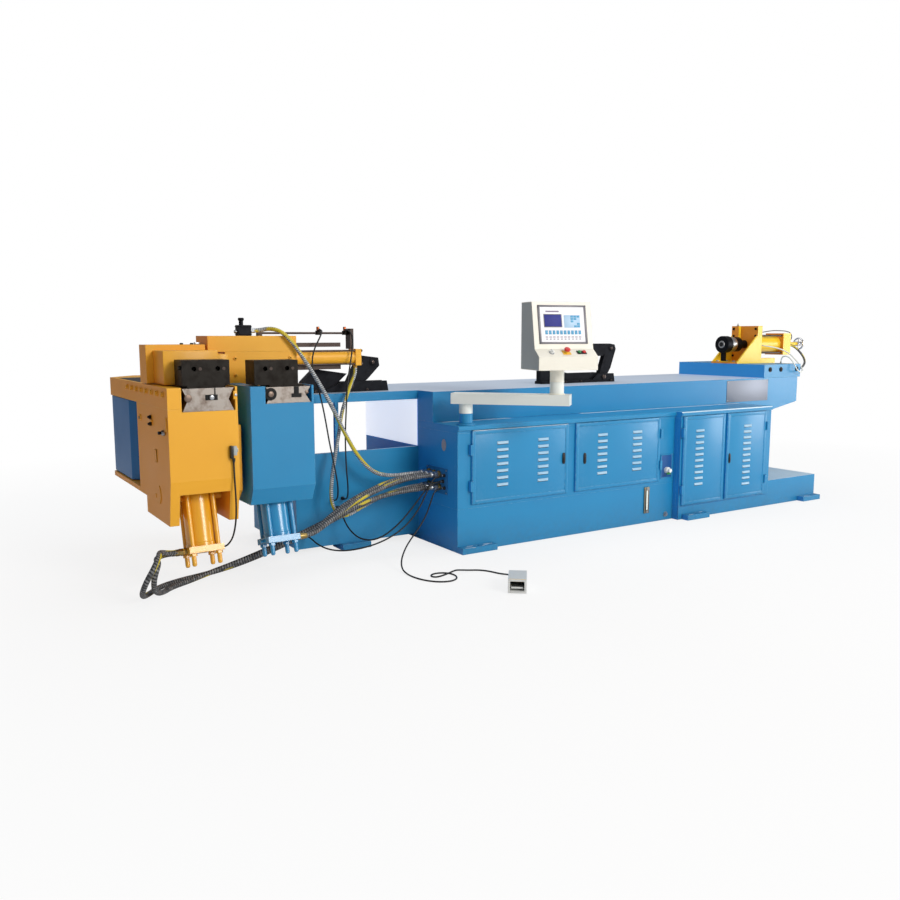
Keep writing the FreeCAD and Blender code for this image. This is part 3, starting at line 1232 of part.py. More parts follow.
# Routes from the cabinet's front left bottom corner, chosen by eye
CORDS = {
    "clamp_return_hose": ("hose", [
        (-60, 280, 415), (-180, 280, 415), (-360, 278, 394), (-560, 277, 342), (-760, 283, 262),
        (-980, 291, 178), (-1200, 300, 106), (-1400, 315, 50), (-1580, 330, 19), (-1740, 290, 17),
        (-1880, 212, 17), (-1985, 116, 17), (-2052, 20, 32), (-2078, -66, 84), (-2062, -120, 156),
        (-2010, -110, 224), (-1954, -50, 262), (-1910, 22, 264), (-1870, 66, 248), (-1822, 88.3, 234.3),
        (-1770.8, 88.3, 234.3),
    ]),
    "clamp_hose": ("hose", [
        (-60, 215, 415), (-180, 215, 415), (-360, 224, 406), (-560, 236, 366), (-760, 243, 296),
        (-980, 248, 214), (-1200, 254, 142), (-1400, 266, 82), (-1560, 280, 40), (-1700, 240, 18),
        (-1812, 178, 17), (-1908, 100, 18), (-1972, 28, 38), (-2006, -26, 84), (-2010, -58, 140),
        (-1990, -58, 190), (-1956, -18, 218), (-1926, 38, 222), (-1902, 92, 220), (-1868, 133, 217.5),
        (-1818, 149.9, 216.7), (-1770.8, 149.9, 216.7),
    ]),
    "pressure_return_hose": ("hose", [
        (-60, 280, 500), (-190, 280, 500), (-360, 273, 474), (-520, 262, 428), (-680, 242, 372),
        (-820, 204, 304), (-930, 166, 244), (-1005, 149.9, 216.7), (-1069.5, 149.9, 216.7),
    ]),
    "pressure_hose": ("hose", [
        (-60, 215, 500), (-190, 215, 500), (-360, 209, 474), (-520, 198, 430), (-680, 176, 380),
        (-820, 134, 314), (-930, 102, 260), (-1005, 88.3, 234.3), (-1069.5, 88.3, 234.3),
    ]),
    "valve_hose": ("valve_hose", [
        (-60, 345, 500), (-160, 345, 500), (-300, 347, 496), (-430, 352, 524), (-540, 360, 640),
        (-625, 365, 790), (-700, 370, 950), (-780, 376, 1100), (-860, 382, 1230), (-935, 386, 1345),
        (-1006, 390, 1430), (-1052, 412, 1462), (-1094, 456, 1470), (-1140, 490, 1457.5),
        (-1184, 490, 1457.5),
    ]),
    "booster_hose": ("booster_hose", [
        (-60, 345, 415), (-150, 345, 415), (-300, 340, 392), (-440, 336, 348), (-560, 334, 298),
        (-650, 336, 266), (-722, 342, 280), (-766, 352, 338), (-775, 362, 416), (-757, 376, 510),
        (-715, 394, 640), (-650, 412, 800), (-625, 424, 920), (-585, 446, 1005), (-545, 474, 1075),
        (-504, 504, 1130), (-473, 520, 1174), (-473, 520, 1214),
    ]),
    "sensor_cable": ("cable", [
        (-700, 580, 1462), (-700, 545, 1462), (-716, 500, 1450), (-752, 458, 1410), (-796, 438, 1350),
        (-822, 430, 1270), (-812, 420, 1180), (-786, 408, 1080), (-765, 396, 970), (-750, 384, 860),
        (-738, 370, 750), (-722, 354, 640), (-704, 346, 530), (-690, 352, 450), (-678, 386, 388),
        (-670, 434, 350), (-670, 479, 350),
    ]),
    "end_sensor_cable": ("cable", [
        (-508, 580, 1462), (-508, 545, 1462), (-508, 505, 1448), (-512, 470, 1405), (-528, 448, 1340),
        (-548, 432, 1260), (-572, 415, 1180), (-592, 400, 1090), (-602, 392, 990), (-608, 394, 890),
        (-612, 398, 780), (-614, 392, 670), (-614, 384, 560), (-606, 384, 470), (-596, 402, 396),
        (-590, 438, 350), (-590, 479, 350),
    ]),
    "skirt_cable": ("cable", [
        (-30, 165, 458), (-76, 165, 458), (-140, 167, 418), (-205, 168, 346), (-280, 166, 270),
        (-365, 168, 195), (-450, 184, 136), (-525, 220, 108), (-580, 280, 118), (-612, 345, 160),
        (-628, 404, 222), (-630, 440, 290), (-630, 479, 290),
    ]),
    "column_cable": ("cable", [
        (-30, 150, 500), (-72, 150, 500), (-118, 147, 458), (-160, 138, 385), (-215, 128, 305),
        (-290, 122, 225), (-385, 122, 160), (-495, 136, 112), (-610, 165, 82), (-720, 210, 68),
        (-800, 275, 74), (-845, 350, 100), (-860, 420, 130), (-860, 479, 130),
    ]),
    "pedal_cable": ("cable", [
        (-30, 150, 415), (-60, 150, 415), (-98, 142, 390), (-135, 118, 336), (-190, 78, 270),
        (-265, 32, 210), (-350, -14, 160), (-430, -60, 106), (-492, -116, 50), (-528, -190, 14),
        (-540, -280, 5), (-538, -370, 5), (-512, -456, 5), (-460, -520, 5), (-392, -542, 5),
        (-334, -512, 5), (-306, -450, 5), (-314, -388, 5), (-362, -350, 5), (-416, -354, 5),
        (-446, -392, 5), (-430, -438, 9), (-380, -450, 20), (-318, -436, 28), (-285, -424, 28),
        (-230, -408, 16), (-175, -404, 6), (-120, -430, 5), (-84, -486, 5), (-66, -556, 5),
        (-50, -624, 12), (-69.07, -694.13, 30), (-106.01, -741.41, 30),
    ]),
    "arm_cable": ("cable", [
        (-1494, -14, 750), (-1494, -14, 690), (-1492, -16, 600), (-1488, -14, 510), (-1484, 4, 420),
        (-1482, 40, 340), (-1484, 80, 280), (-1494, 108, 246), (-1512, 119.1, 225.5),
        (-1534.5, 119.1, 225.5),
    ]),
    "mandrel_hose": ("mandrel_hose", [
        (4299, 700, 1333), (4340, 700, 1333), (4388, 678, 1308), (4414, 640, 1262), (4400, 590, 1216),
        (4340, 530, 1176), (4250, 475, 1146), (4160, 436, 1124), (4068, 420, 1110), (3984, 420, 1110),
    ]),
    "mandrel_line": ("mandrel_line", [
        (3805, 632, 1330), (3805, 604, 1330), (3828, 572, 1325), (3880, 552, 1316), (3940, 536, 1304),
        (3995, 500, 1280), (4022, 446, 1236), (4018, 388, 1186), (4000, 326, 1140), (3956, 276, 1104),
        (3900, 258, 1090), (3852, 262, 1114), (3830, 278, 1164), (3830, 314, 1212), (3830, 358, 1238),
        (3830, 402, 1236), (3830, 420, 1208), (3830, 420, 1185),
    ]),
    "mandrel_cable": ("mandrel_cable", [
        (3950, 755, 1455), (3995, 755, 1455), (4065, 748, 1466), (4140, 736, 1471), (4215, 718, 1469),
        (4272, 702, 1465), (4322, 692, 1449), (4344, 690, 1412), (4327, 690, 1374), (4291, 690, 1374),
    ]),
}

cabinets()
bed()
doors()
beam()
spindle()
swing_arm()
pressure_head()
booster()
hanging_cylinder("clamp_cylinder", f"({ARM_LEFT} + {ARM_RIGHT}) / 2",
                 "arm_left_half - arm_right_half - 2 * arm_wall", -1)
hanging_cylinder("pressure_cylinder", f"({HEAD_LEFT} + {HEAD_RIGHT}) / 2", "head_bay_width", 1)
console()
tube_supports()
mandrel()
floor_pads()
fittings()
foot_pedal()
for label, (size, points) in CORDS.items():
    cord(label, size, points)

doc.recompute()

faults = [item.Name for item in doc.Objects if "Invalid" in item.State or "Error" in item.State]
if faults:
    raise RuntimeError("These objects failed to build: " + ", ".join(faults))
for item in nodes:
    if item.Shape.isNull() or not item.Shape.isValid():
        raise RuntimeError("This sub-part has no valid shape: " + item.Label)

os.makedirs("parts", exist_ok=True)
for item in nodes:
    item.Shape.exportStep(f"parts/{item.Label}.step")
print(len(nodes), "sub-parts written")
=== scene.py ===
import logging
import math
from dataclasses import dataclass
from enum import Enum
from typing import ClassVar, Iterable, Optional, Sequence, Union

import bmesh
import bpy
from mathutils import Matrix, Vector


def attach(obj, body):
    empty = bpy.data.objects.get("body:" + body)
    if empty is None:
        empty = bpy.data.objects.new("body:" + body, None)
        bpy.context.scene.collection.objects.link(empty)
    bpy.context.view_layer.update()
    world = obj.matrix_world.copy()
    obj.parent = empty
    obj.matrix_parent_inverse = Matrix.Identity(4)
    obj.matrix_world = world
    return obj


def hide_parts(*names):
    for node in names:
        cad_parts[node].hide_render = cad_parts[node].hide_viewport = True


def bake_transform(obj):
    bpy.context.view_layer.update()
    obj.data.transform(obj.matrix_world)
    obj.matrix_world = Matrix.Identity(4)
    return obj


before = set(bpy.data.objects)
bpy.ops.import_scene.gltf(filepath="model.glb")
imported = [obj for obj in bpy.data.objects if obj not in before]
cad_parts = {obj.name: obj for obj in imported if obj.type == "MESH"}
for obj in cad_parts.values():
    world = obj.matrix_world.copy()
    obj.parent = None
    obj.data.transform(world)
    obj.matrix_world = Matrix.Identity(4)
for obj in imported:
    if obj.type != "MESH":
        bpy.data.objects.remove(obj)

log = logging.getLogger("tube_bender")
Point = Sequence[float]

# Places are metres from the cabinet's front left bottom corner, as the cords' routes are in the CAD source
CORNER = Vector((-1.365, -0.5193, 0.0))
# Edges sharper than this stay crisp in smooth shading
CREASE = math.radians(32)
# The four corners of a pattern about its centre
CORNERS = tuple((a, b) for a in (-1, 1) for b in (-1, 1))
# What stands along +Z lies on a face that looks left: X runs to the front, Y up and Z out of it
ON_LEFT_FACE = Matrix(((0, 0, -1, 0), (-1, 0, 0, 0), (0, 1, 0, 0), (0, 0, 0, 1)))


def at(x: float, y: float, z: float) -> Vector:
    """A place given from the cabinet's corner, in the frame."""
    return CORNER + Vector((x, y, z))


def linear(code: str) -> tuple[float, float, float, float]:
    """An sRGB hex colour as linear red, green, blue and alpha.

    Args:
        code: Six hex digits.

    Returns:
        The four values that a shader socket takes.
    """
    parts = [int(code[i:i + 2], 16) / 255 for i in (0, 2, 4)]
    red, green, blue = (c / 12.92 if c <= 0.04045 else ((c + 0.055) / 1.055) ** 2.4 for c in parts)
    return red, green, blue, 1.0


def add(tree: bpy.types.NodeTree, kind: str, inputs: Optional[dict] = None, **settings: object) -> bpy.types.Node:
    """Adds one node to a tree, with its settings, values and links.

    Args:
        tree: The tree that takes the node.
        kind: The node's type name.
        inputs: A value, an output socket or a node, for its first output, for each input by name or number.
        settings: The node's own properties.

    Returns:
        The new node.
    """
    node = tree.nodes.new(kind)
    for key, value in settings.items():
        setattr(node, key, value)
    for key, value in (inputs or {}).items():
        if isinstance(value, bpy.types.Node):
            value = value.outputs[0]
        if isinstance(value, bpy.types.NodeSocket):
            tree.links.new(value, node.inputs[key])
        else:
            node.inputs[key].default_value = value
    return node


def per_mm(size: float) -> float:
    """The noise scale, per metre, whose features are about a size in millimetres."""
    return 1000.0 / size


@dataclass(frozen=True)
class Finish:
    """One material of the machine, made once and shared by name."""

    name: str
    colour: str
    roughness: float = 0.5

    def material(self) -> bpy.types.Material:
        """The finish's material, built when it is first asked for."""
        made = bpy.data.materials.get(self.name)
        if made is None:
            made = bpy.data.materials.new(self.name)
            made.use_nodes = True
            made.node_tree.nodes.clear()
            shader = self.shader(made.node_tree)
            add(made.node_tree, "ShaderNodeOutputMaterial", {"Surface": shader})
        return made

    def shader(self, tree: bpy.types.NodeTree) -> bpy.types.Node:
        """A plain moulded or painted surface with a faint unevenness of tone."""
        where = add(tree, "ShaderNodeTexCoord").outputs["Object"]
        tone = add(tree, "ShaderNodeTexNoise", {"Vector": where, "Scale": per_mm(60), "Detail": 2.0})
        rough = add(tree, "ShaderNodeMapRange", {
            "Value": tone, "To Min": self.roughness - 0.06, "To Max": self.roughness + 0.06})
        return add(tree, "ShaderNodeBsdfPrincipled", {
            "Base Color": linear(self.colour), "Roughness": rough})


@dataclass(frozen=True)
class Enamel(Finish):
    """Brushed and rolled machine enamel: glossy, slightly uneven, paler along its edges from rubbed paint and a painted
    highlight, with painted light on faces that look up and left where those colours are given.
    """

    shade: str = "000000"
    # The paler corners' colour and largest share: rubbed paint and a painted highlight
    edge: str = "ffffff"
    wear_and_highlight: float = 0.5
    coat: float = 0.05
    soil: float = 0.35
    # Painted light: colours for faces that look up and for faces that look left, standing in for how light falls on
    # them
    lit_top: str = ""
    side: str = ""
    # Pattern sizes in millimetres: an arm's sweep of the roller, dirty drips, rubbed spots and roller stipple,
    # which is about 6 mm across in life and is drawn coarser so that it shows
    DRIFT: ClassVar[float] = 420.0
    DRIP: ClassVar[float] = 35.0
    RUB: ClassVar[float] = 28.0
    STIPPLE: ClassVar[float] = 14.0
    # Oily floor dirt, and in metres how high it splashes and how far from a corner the paint turns paler, partly rubbed
    # thin and partly a painted highlight
    GRIME: ClassVar[str] = "4a4640"
    SPLASH: ClassVar[float] = 0.22
    CORNER_WIDTH: ClassVar[float] = 0.004

    def shader(self, tree: bpy.types.NodeTree) -> bpy.types.Node:
        """Paint whose tone drifts over a hand's breadth, with dust low down, edges paler from rubbing and a painted
        highlight, and painted light on faces that look up and left.
        """
        where = add(tree, "ShaderNodeTexCoord").outputs["Object"]
        drift = add(tree, "ShaderNodeTexNoise", {"Vector": where, "Scale": per_mm(self.DRIFT), "Detail": 4.0})
        drift_share = add(tree, "ShaderNodeMapRange", {
            "Value": drift, "From Min": 0.35, "From Max": 0.7, "To Min": 0.0, "To Max": 0.45})
        body = add(tree, "ShaderNodeMix", {
            0: drift_share, 6: linear(self.colour), 7: linear(self.shade)}, data_type="RGBA")
        tone = body.outputs[2]
        # Painted light: faces that look up take a paler colour for the sheen of light from above, and faces that look
        # left take a colour that stands in for their shade
        for axis, code, start, full in (("Z", self.lit_top, 0.85, 0.97), ("X", self.side, -0.85, -0.97)):
            if code:
                facing = add(tree, "ShaderNodeSeparateXYZ", {
                    "Vector": add(tree, "ShaderNodeNewGeometry").outputs["True Normal"]})
                share = add(tree, "ShaderNodeMapRange", {
                    "Value": facing.outputs[axis], "From Min": start, "From Max": full})
                tone = add(tree, "ShaderNodeMix", {
                    0: share, 6: tone, 7: linear(code)}, data_type="RGBA").outputs[2]
        # Grime gathers in streaks near the floor
        height = add(tree, "ShaderNodeSeparateXYZ", {"Vector": where})
        low = add(tree, "ShaderNodeMapRange", {
            "Value": height.outputs["Z"], "From Min": 0.0, "From Max": self.SPLASH, "To Min": self.soil, "To Max": 0.0})
        streak = add(tree, "ShaderNodeTexNoise", {"Vector": where, "Scale": per_mm(self.DRIP), "Detail": 5.0})
        soiled = add(tree, "ShaderNodeMath", {0: low, 1: streak}, operation="MULTIPLY")
        dirty = add(tree, "ShaderNodeMix", {
            0: soiled, 6: tone, 7: linear(self.GRIME)}, data_type="RGBA")
        # Near a corner the rounded normal turns away from the flat one, and there the paint turns paler: partly rubbed
        # paint, partly a painted highlight
        round_edge = add(tree, "ShaderNodeBevel", {"Radius": self.CORNER_WIDTH}, samples=4)
        flat = add(tree, "ShaderNodeNewGeometry")
        turn = add(tree, "ShaderNodeVectorMath", {
            0: round_edge, 1: flat.outputs["True Normal"]}, operation="DOT_PRODUCT")
        rim = add(tree, "ShaderNodeMapRange", {
            "Value": turn.outputs["Value"], "From Min": 0.99, "From Max": 0.85, "To Min": 0.0, "To Max": 1.0})
        rub = add(tree, "ShaderNodeTexNoise", {"Vector": where, "Scale": per_mm(self.RUB), "Detail": 6.0})
        rub_and_highlight_share = add(tree, "ShaderNodeMapRange", {
            "Value": rub, "From Min": 0.4, "From Max": 0.65, "To Min": 0.06, "To Max": self.wear_and_highlight})
        worn_and_highlit = add(tree, "ShaderNodeMath", {0: rim, 1: rub_and_highlight_share}, operation="MULTIPLY")
        colour = add(tree, "ShaderNodeMix", {
            0: worn_and_highlit, 6: dirty.outputs[2], 7: linear(self.edge)}, data_type="RGBA")
        stipple = add(tree, "ShaderNodeTexNoise", {"Vector": where, "Scale": per_mm(self.STIPPLE), "Detail": 2.0})
        relief = add(tree, "ShaderNodeBump", {
            "Height": stipple, "Strength": 0.05, "Distance": self.CORNER_WIDTH,
            "Normal": round_edge})
        rough = add(tree, "ShaderNodeMapRange", {
            "Value": drift, "To Min": self.roughness - 0.07, "To Max": self.roughness + 0.1})
        return add(tree, "ShaderNodeBsdfPrincipled", {
            "Base Color": colour.outputs[2], "Roughness": rough, "Normal": relief,
            "Coat Weight": self.coat, "Coat Roughness": 0.12})


@dataclass(frozen=True)
class Steel(Finish):
    """Milled or ground steel: grain along one way, oil stains and a little rust."""

    stain: str = "5a4632"
    stain_share: float = 0.25
    grain: tuple[float, float, float] = (6.0, 220.0, 220.0)
    # Oil stains a thumb wide, in millimetres, and a ground chamfer, in metres
    STAIN_SIZE: ClassVar[float] = 45.0
    CHAMFER: ClassVar[float] = 0.002

    def shader(self, tree: bpy.types.NodeTree) -> bpy.types.Node:
        """Metal with cutter marks as stretched noise, browned where oil has stood."""
        where = add(tree, "ShaderNodeTexCoord").outputs["Object"]
        along = add(tree, "ShaderNodeMapping", {"Vector": where, "Scale": self.grain})
        marks = add(tree, "ShaderNodeTexNoise", {"Vector": along, "Scale": 1.0, "Detail": 3.0})
        blot = add(tree, "ShaderNodeTexNoise", {"Vector": where, "Scale": per_mm(self.STAIN_SIZE), "Detail": 5.0})
        share = add(tree, "ShaderNodeMapRange", {
            "Value": blot, "From Min": 0.45, "From Max": 0.7, "To Min": 0.0,
            "To Max": self.stain_share})
        colour = add(tree, "ShaderNodeMix", {
            0: share, 6: linear(self.colour), 7: linear(self.stain)}, data_type="RGBA")
        rough = add(tree, "ShaderNodeMapRange", {
            "Value": marks, "To Min": self.roughness - 0.08, "To Max": self.roughness + 0.14})
        round_edge = add(tree, "ShaderNodeBevel", {"Radius": self.CHAMFER}, samples=4)
        relief = add(tree, "ShaderNodeBump", {
            "Height": marks, "Strength": 0.12, "Distance": self.CHAMFER, "Normal": round_edge})
        return add(tree, "ShaderNodeBsdfPrincipled", {
            "Base Color": colour.outputs[2], "Metallic": 1.0, "Roughness": rough,
            "Normal": relief})


@dataclass(frozen=True)
class SpiralWrap(Finish):
    """A hydraulic hose in a scuffed spiral guard, with a yellow tracer that shows in stretches."""

    gap: str = "2b2d30"
    scuff: str = "707476"
    tracer: str = "c9b62a"
    pitch: float = 0.016
    tracer_share: float = 0.2
    hiding: float = 0.47
    # Scuffs and dirty stretches in millimetres, and the metres in which the tracer goes once round
    SCUFF_SIZE: ClassVar[float] = 22.0
    DIRTY_STRETCH: ClassVar[float] = 160.0
    TRACER_TURN: ClassVar[float] = 0.9

    def shader(self, tree: bpy.types.NodeTree) -> bpy.types.Node:
        """Stripes that wind once round for each pitch along the hose, from its own UV map in metres."""
        chart = add(tree, "ShaderNodeUVMap", uv_map="along")
        across = add(tree, "ShaderNodeSeparateXYZ", {"Vector": chart})
        along, around = across.outputs["X"], across.outputs["Y"]
        where = add(tree, "ShaderNodeTexCoord").outputs["Object"]

        def wound(pitch: float) -> bpy.types.NodeSocket:
            """How far round a strip of that pitch has come, from 0 to 1."""
            run = add(tree, "ShaderNodeMath", {0: along, 1: 1 / pitch, 2: around}, operation="MULTIPLY_ADD")
            return add(tree, "ShaderNodeMath", {0: run}, operation="FRACT").outputs[0]

        strip = add(tree, "ShaderNodeMath", {0: wound(self.pitch), 1: 0.5}, operation="LESS_THAN")
        scuffs = add(tree, "ShaderNodeTexNoise", {"Vector": where, "Scale": per_mm(self.SCUFF_SIZE), "Detail": 3.0})
        scuffed = add(tree, "ShaderNodeMapRange", {"Value": scuffs, "From Min": 0.4, "From Max": 0.6})
        pale = add(tree, "ShaderNodeMix", {
            0: scuffed, 6: linear(self.colour), 7: linear(self.scuff)}, data_type="RGBA")
        wrapped = add(tree, "ShaderNodeMix", {
            0: strip, 6: linear(self.gap), 7: pale.outputs[2]}, data_type="RGBA")
        # The tracer runs nearly straight, and dirt hides it in places
        line = add(tree, "ShaderNodeMath", {0: wound(self.TRACER_TURN), 1: self.tracer_share}, operation="LESS_THAN")
        hidden = add(tree, "ShaderNodeTexNoise", {"Vector": where, "Scale": per_mm(self.DIRTY_STRETCH), "Detail": 1.0})
        shown = add(tree, "ShaderNodeMapRange", {
            "Value": hidden, "From Min": self.hiding, "From Max": self.hiding + 0.05})
        share = add(tree, "ShaderNodeMath", {0: line, 1: shown}, operation="MULTIPLY")
        colour = add(tree, "ShaderNodeMix", {
            0: share, 6: wrapped.outputs[2], 7: linear(self.tracer)}, data_type="RGBA")
        relief = add(tree, "ShaderNodeBump", {"Height": strip, "Strength": 0.5, "Distance": 0.002})
        return add(tree, "ShaderNodeBsdfPrincipled", {
            "Base Color": colour.outputs[2], "Roughness": self.roughness, "Normal": relief})


@dataclass(frozen=True)
class Screen(Finish):
    """A backlit display behind a clear film: deep and evenly lit, with faint rows of cells."""

    glow: float = 0.35
    cell: str = "1d278a"
    cell_size: float = 9.0

    def shader(self, tree: bpy.types.NodeTree) -> bpy.types.Node:
        """Film gloss over a surface that gives a little light of its own."""
        where = add(tree, "ShaderNodeTexCoord").outputs["Object"]
        cells = add(tree, "ShaderNodeTexNoise", {"Vector": where, "Scale": per_mm(self.cell_size), "Detail": 0.0})
        tone = add(tree, "ShaderNodeMix", {
            0: cells, 6: linear(self.colour), 7: linear(self.cell)}, data_type="RGBA")
        return add(tree, "ShaderNodeBsdfPrincipled", {
            "Base Color": tone.outputs[2], "Roughness": self.roughness, "Emission Color": linear(self.colour),
            "Emission Strength": self.glow})


@dataclass(frozen=True)
class Metal(Finish):
    """A small bright or plated metal part, such as a chrome rim, a brass nut or a copper sensor cap."""

    def shader(self, tree: bpy.types.NodeTree) -> bpy.types.Node:
        """Plated metal with fine handling marks."""
        where = add(tree, "ShaderNodeTexCoord").outputs["Object"]
        marks = add(tree, "ShaderNodeTexNoise", {"Vector": where, "Scale": per_mm(12), "Detail": 4.0})
        rough = add(tree, "ShaderNodeMapRange", {
            "Value": marks, "To Min": self.roughness, "To Max": self.roughness + 0.12})
        return add(tree, "ShaderNodeBsdfPrincipled", {
            "Base Color": linear(self.colour), "Metallic": 1.0, "Roughness": rough})


# Rolled blue machine enamel: an even mid blue with a soft gloss, a brighter blue painted on faces that look left in
# place of their shade, pale at its corners from rubbing and a painted highlight
BLUE = Enamel("blue_machine_enamel", "1886ba", 0.38, shade="147bb0", edge="a9d6ee", side="2890da")
# The same enamel on the bed, whose upper faces are painted a pale blue-grey for the sheen that light gives them, with
# the same painted shade colour on faces that look left
BED_BLUE = Enamel("blue_enamel_pale_lit_bed", "1886bb", 0.36, shade="147cb2", edge="c6e2f2", lit_top="bccadd", side="2890da")
# The same enamel on the base, whose step is painted pale for the light that falls on it from above, with the same
# painted shade colour on faces that look left
BASE_BLUE = Enamel("blue_enamel_pale_lit_base", "1886ba", 0.38, shade="147bb0", edge="a9d6ee", lit_top="c2dced",
                   side="2890da")
# Older, deeper blue on rough castings: flatter and darker
DEEP_BLUE = Enamel("blue_enamel_cast_housing", "1b6cab", 0.42, shade="185e9c", edge="7fb6de", wear_and_highlight=0.3)
# Warm yellow enamel on thick plate: slightly uneven, with an orange colour painted on faces that look left for their
# shade
YELLOW = Enamel("yellow_machine_enamel", "efae24", 0.46, side="ef9a18", shade="e8a01c", edge="ffe08a", wear_and_highlight=0.45)
# Lemon yellow of the bought-in cylinder unit: cooler and glossier, with an orange colour painted on faces that look
# left for their shade
LEMON = Enamel("lemon_machine_enamel", "f3cd2c", 0.34, shade="eebb22", edge="fff0a0", wear_and_highlight=0.4, side="e08b1e")
# Sprayed cylinder enamels: wet-looking, with long highlights down the barrels
YELLOW_GLOSS = Enamel("glossy_yellow_enamel", "f0b02a", 0.24, shade="eaa41e", edge="ffe08a", wear_and_highlight=0.4, coat=0.4)
BLUE_GLOSS = Enamel("glossy_blue_enamel", "2f92c6", 0.24, shade="2786bb", edge="c6e2f2", coat=0.4)
# Pale glossy enamel strips that paint the highlight along the ledge's nose, beside the bed and on door 1's upper edge:
# a pale, shiny line
LEDGE_HIGHLIGHT = Enamel("pale_highlight_enamel", "d5e8f3", 0.25, shade="a4cde4", edge="ffffff", wear_and_highlight=0.2, coat=0.5)
# Louvre hoods painted pale as the highlight that light makes on them: light dashes on the doors
LOUVRE_HIGHLIGHT = Enamel("pale_louvre_highlight_enamel", "b4d5ea", 0.3, shade="7db6dc", edge="ffffff", wear_and_highlight=0.4)
# Enamel in the shade of a recess: deep and dull
RECESS = Enamel("deep_blue_recess_enamel", "1a5799", 0.45, shade="164a88", edge="2f7cc0", wear_and_highlight=0.2)
# Primer that shows on the flange: a flat orange
ORANGE = Enamel("orange_primer_enamel", "e88a1c", 0.42, shade="c96f12", edge="ffc070", wear_and_highlight=0.4)
# Powder coats, fine-grained and clean: cream case, paler arm and grey side sheets
CREAM = Enamel("cream_powder_coat", "efece0", 0.42, shade="e8e4d8", edge="ffffff", wear_and_highlight=0.3, soil=0.0)
PALE_ARM = Enamel("pale_powder_coat", "e6eae6", 0.42, shade="dde1dd", edge="ffffff", wear_and_highlight=0.3, soil=0.0)
GREY_CASE = Enamel("grey_powder_coat", "adb2b2", 0.45, shade="a3a8a8", edge="d5d7d8", wear_and_highlight=0.3, soil=0.1)
# Heat-blackened tool steel and castings: near black with a brown or cool sheen and a fine even grain
BLACKED = Steel("blackened_tool_steel", "2b2927", 0.42, stain="171311", stain_share=0.6, grain=(40.0, 40.0, 40.0))
CAST_BLACK = Steel("blackened_iron_casting", "222327", 0.46, stain="131214", stain_share=0.5, grain=(90.0, 90.0, 90.0))
# Ground slides: pale warm steel, stroked lengthways and browned by old oil
GROUND = Steel("ground_slide_steel", "a39c96", 0.36, stain="5d4536", stain_share=0.7)
# Turned shafts: bright rings round the axis
TURNED = Steel("turned_shaft_steel", "b9babb", 0.28, grain=(220.0, 220.0, 6.0), stain_share=0.1)
# Bar stock under a film of oil: brown and dull
OILED = Steel("oiled_bar_steel", "85766c", 0.42, stain="4f3a30", stain_share=0.7)
# Black oxide on rods and screws: dark brown with a soft highlight
RODS = Metal("black_oxide_rod", "4c4340", 0.3)
# Chrome: the brightest metal, with near mirror streaks
CHROME = Metal("chrome_plate", "a3a6aa", 0.16)
# Zinc plate: pale grey and slightly milky
ZINC = Metal("zinc_plated_steel", "a9adb2", 0.3)
# Brass dulled by oil: muted gold
BRASS = Metal("tarnished_brass_fitting", "9c8654", 0.34)
# Bronze frame: greyish and matt
BRONZE = Metal("dull_bronze_frame", "8b8474", 0.4)
# Copper caps: small warm red points
COPPER = Metal("copper_sensor_cap", "b8613a", 0.3)
# PVC jackets: black with a soft highlight, and a milky white tube
CABLE = Finish("black_pvc_cable", "0c0d0e", 0.5)
PALE_TUBE = Finish("milky_pvc_tube", "e4e6e0", 0.3)
# Polyethylene spiral guards: grey stripes, a 16 or 13 mm pitch, with stretches of yellow tracer
WRAP = SpiralWrap("spiral_guarded_hose", "88898b", 0.5, gap="2a2b2e", scuff="4f5154")
PALE_WRAP = SpiralWrap("pale_spiral_guarded_hose", "d0d2d2", 0.45, gap="686b6f", scuff="979a9c", pitch=0.013,
                       tracer_share=0.3, hiding=0.36)
# Moulded ABS: dense black or white with a satin skin
BLACK_PLASTIC = Finish("black_abs_plastic", "17181a", 0.38)
WHITE_PLASTIC = Finish("white_abs_plastic", "eceeed", 0.35)
# Openings that light doesn't reach: flat and black
DARK_HOLE = Finish("shadowed_opening", "0b0c0e", 0.8)
# Enamel on a die-cast pedal: pale grey, satin
PEDAL = Finish("pale_grey_cast_enamel", "d4d6d5", 0.4)
# Membrane panel: a white polyester film with printed blue keys and violet-grey marks
PANEL_FILM = Finish("white_polyester_film", "eff0f5", 0.45)
KEY_BLUE = Finish("blue_membrane_key", "3a9bc9", 0.4)
KEY_PALE = Finish("pale_blue_membrane_key", "a9cbe8", 0.4)
KEY_CAPTION = Finish("printed_key_marks", "7d6f8c", 0.5)
# Anodised aluminium bezel: a neutral mid grey line round the film
BEZEL = Finish("grey_anodised_bezel", "6c6b74", 0.35)
# Liquid crystal display: a deep navy field that glows a little
DISPLAY = Screen("navy_lcd_screen", "171f78", 0.6, glow=0.1)
# A sheet that glows nearly white to paint the light seen through the beam's window, with broad faint clouds
GLOWING_SHEET = Screen("glowing_pale_sheet", "eff0f7", 0.6, glow=0.7, cell="e3e5f1", cell_size=220.0)
# Polished push button and lamp plastics: saturated red and green with a small highlight, and a matt yellow
RED = Finish("red_pushbutton_plastic", "cf2a2a", 0.28)
GREEN = Finish("green_lamp_lens", "1d7a3c", 0.2)
SIGNAL_YELLOW = Finish("yellow_button_plate", "eebf3a", 0.4)
# Bare rolled aluminium: cool grey with a broad soft sheen
BARE_PLATE = Metal("bare_aluminium_plate", "8d929d", 0.45)
# Acrylic sight glass over pale oil: smooth and bright
WINDOW = Finish("pale_gauge_window", "e9efe6", 0.12)
# Chipped paint down to primer: dull pale strokes
WORN_PAINT = Finish("scuffed_primer_marks", "d6e2ea", 0.6)
# Polyethylene plug: a warm, even grey
COVER_GREY = Finish("grey_blanking_plug", "a9a0a8", 0.45)


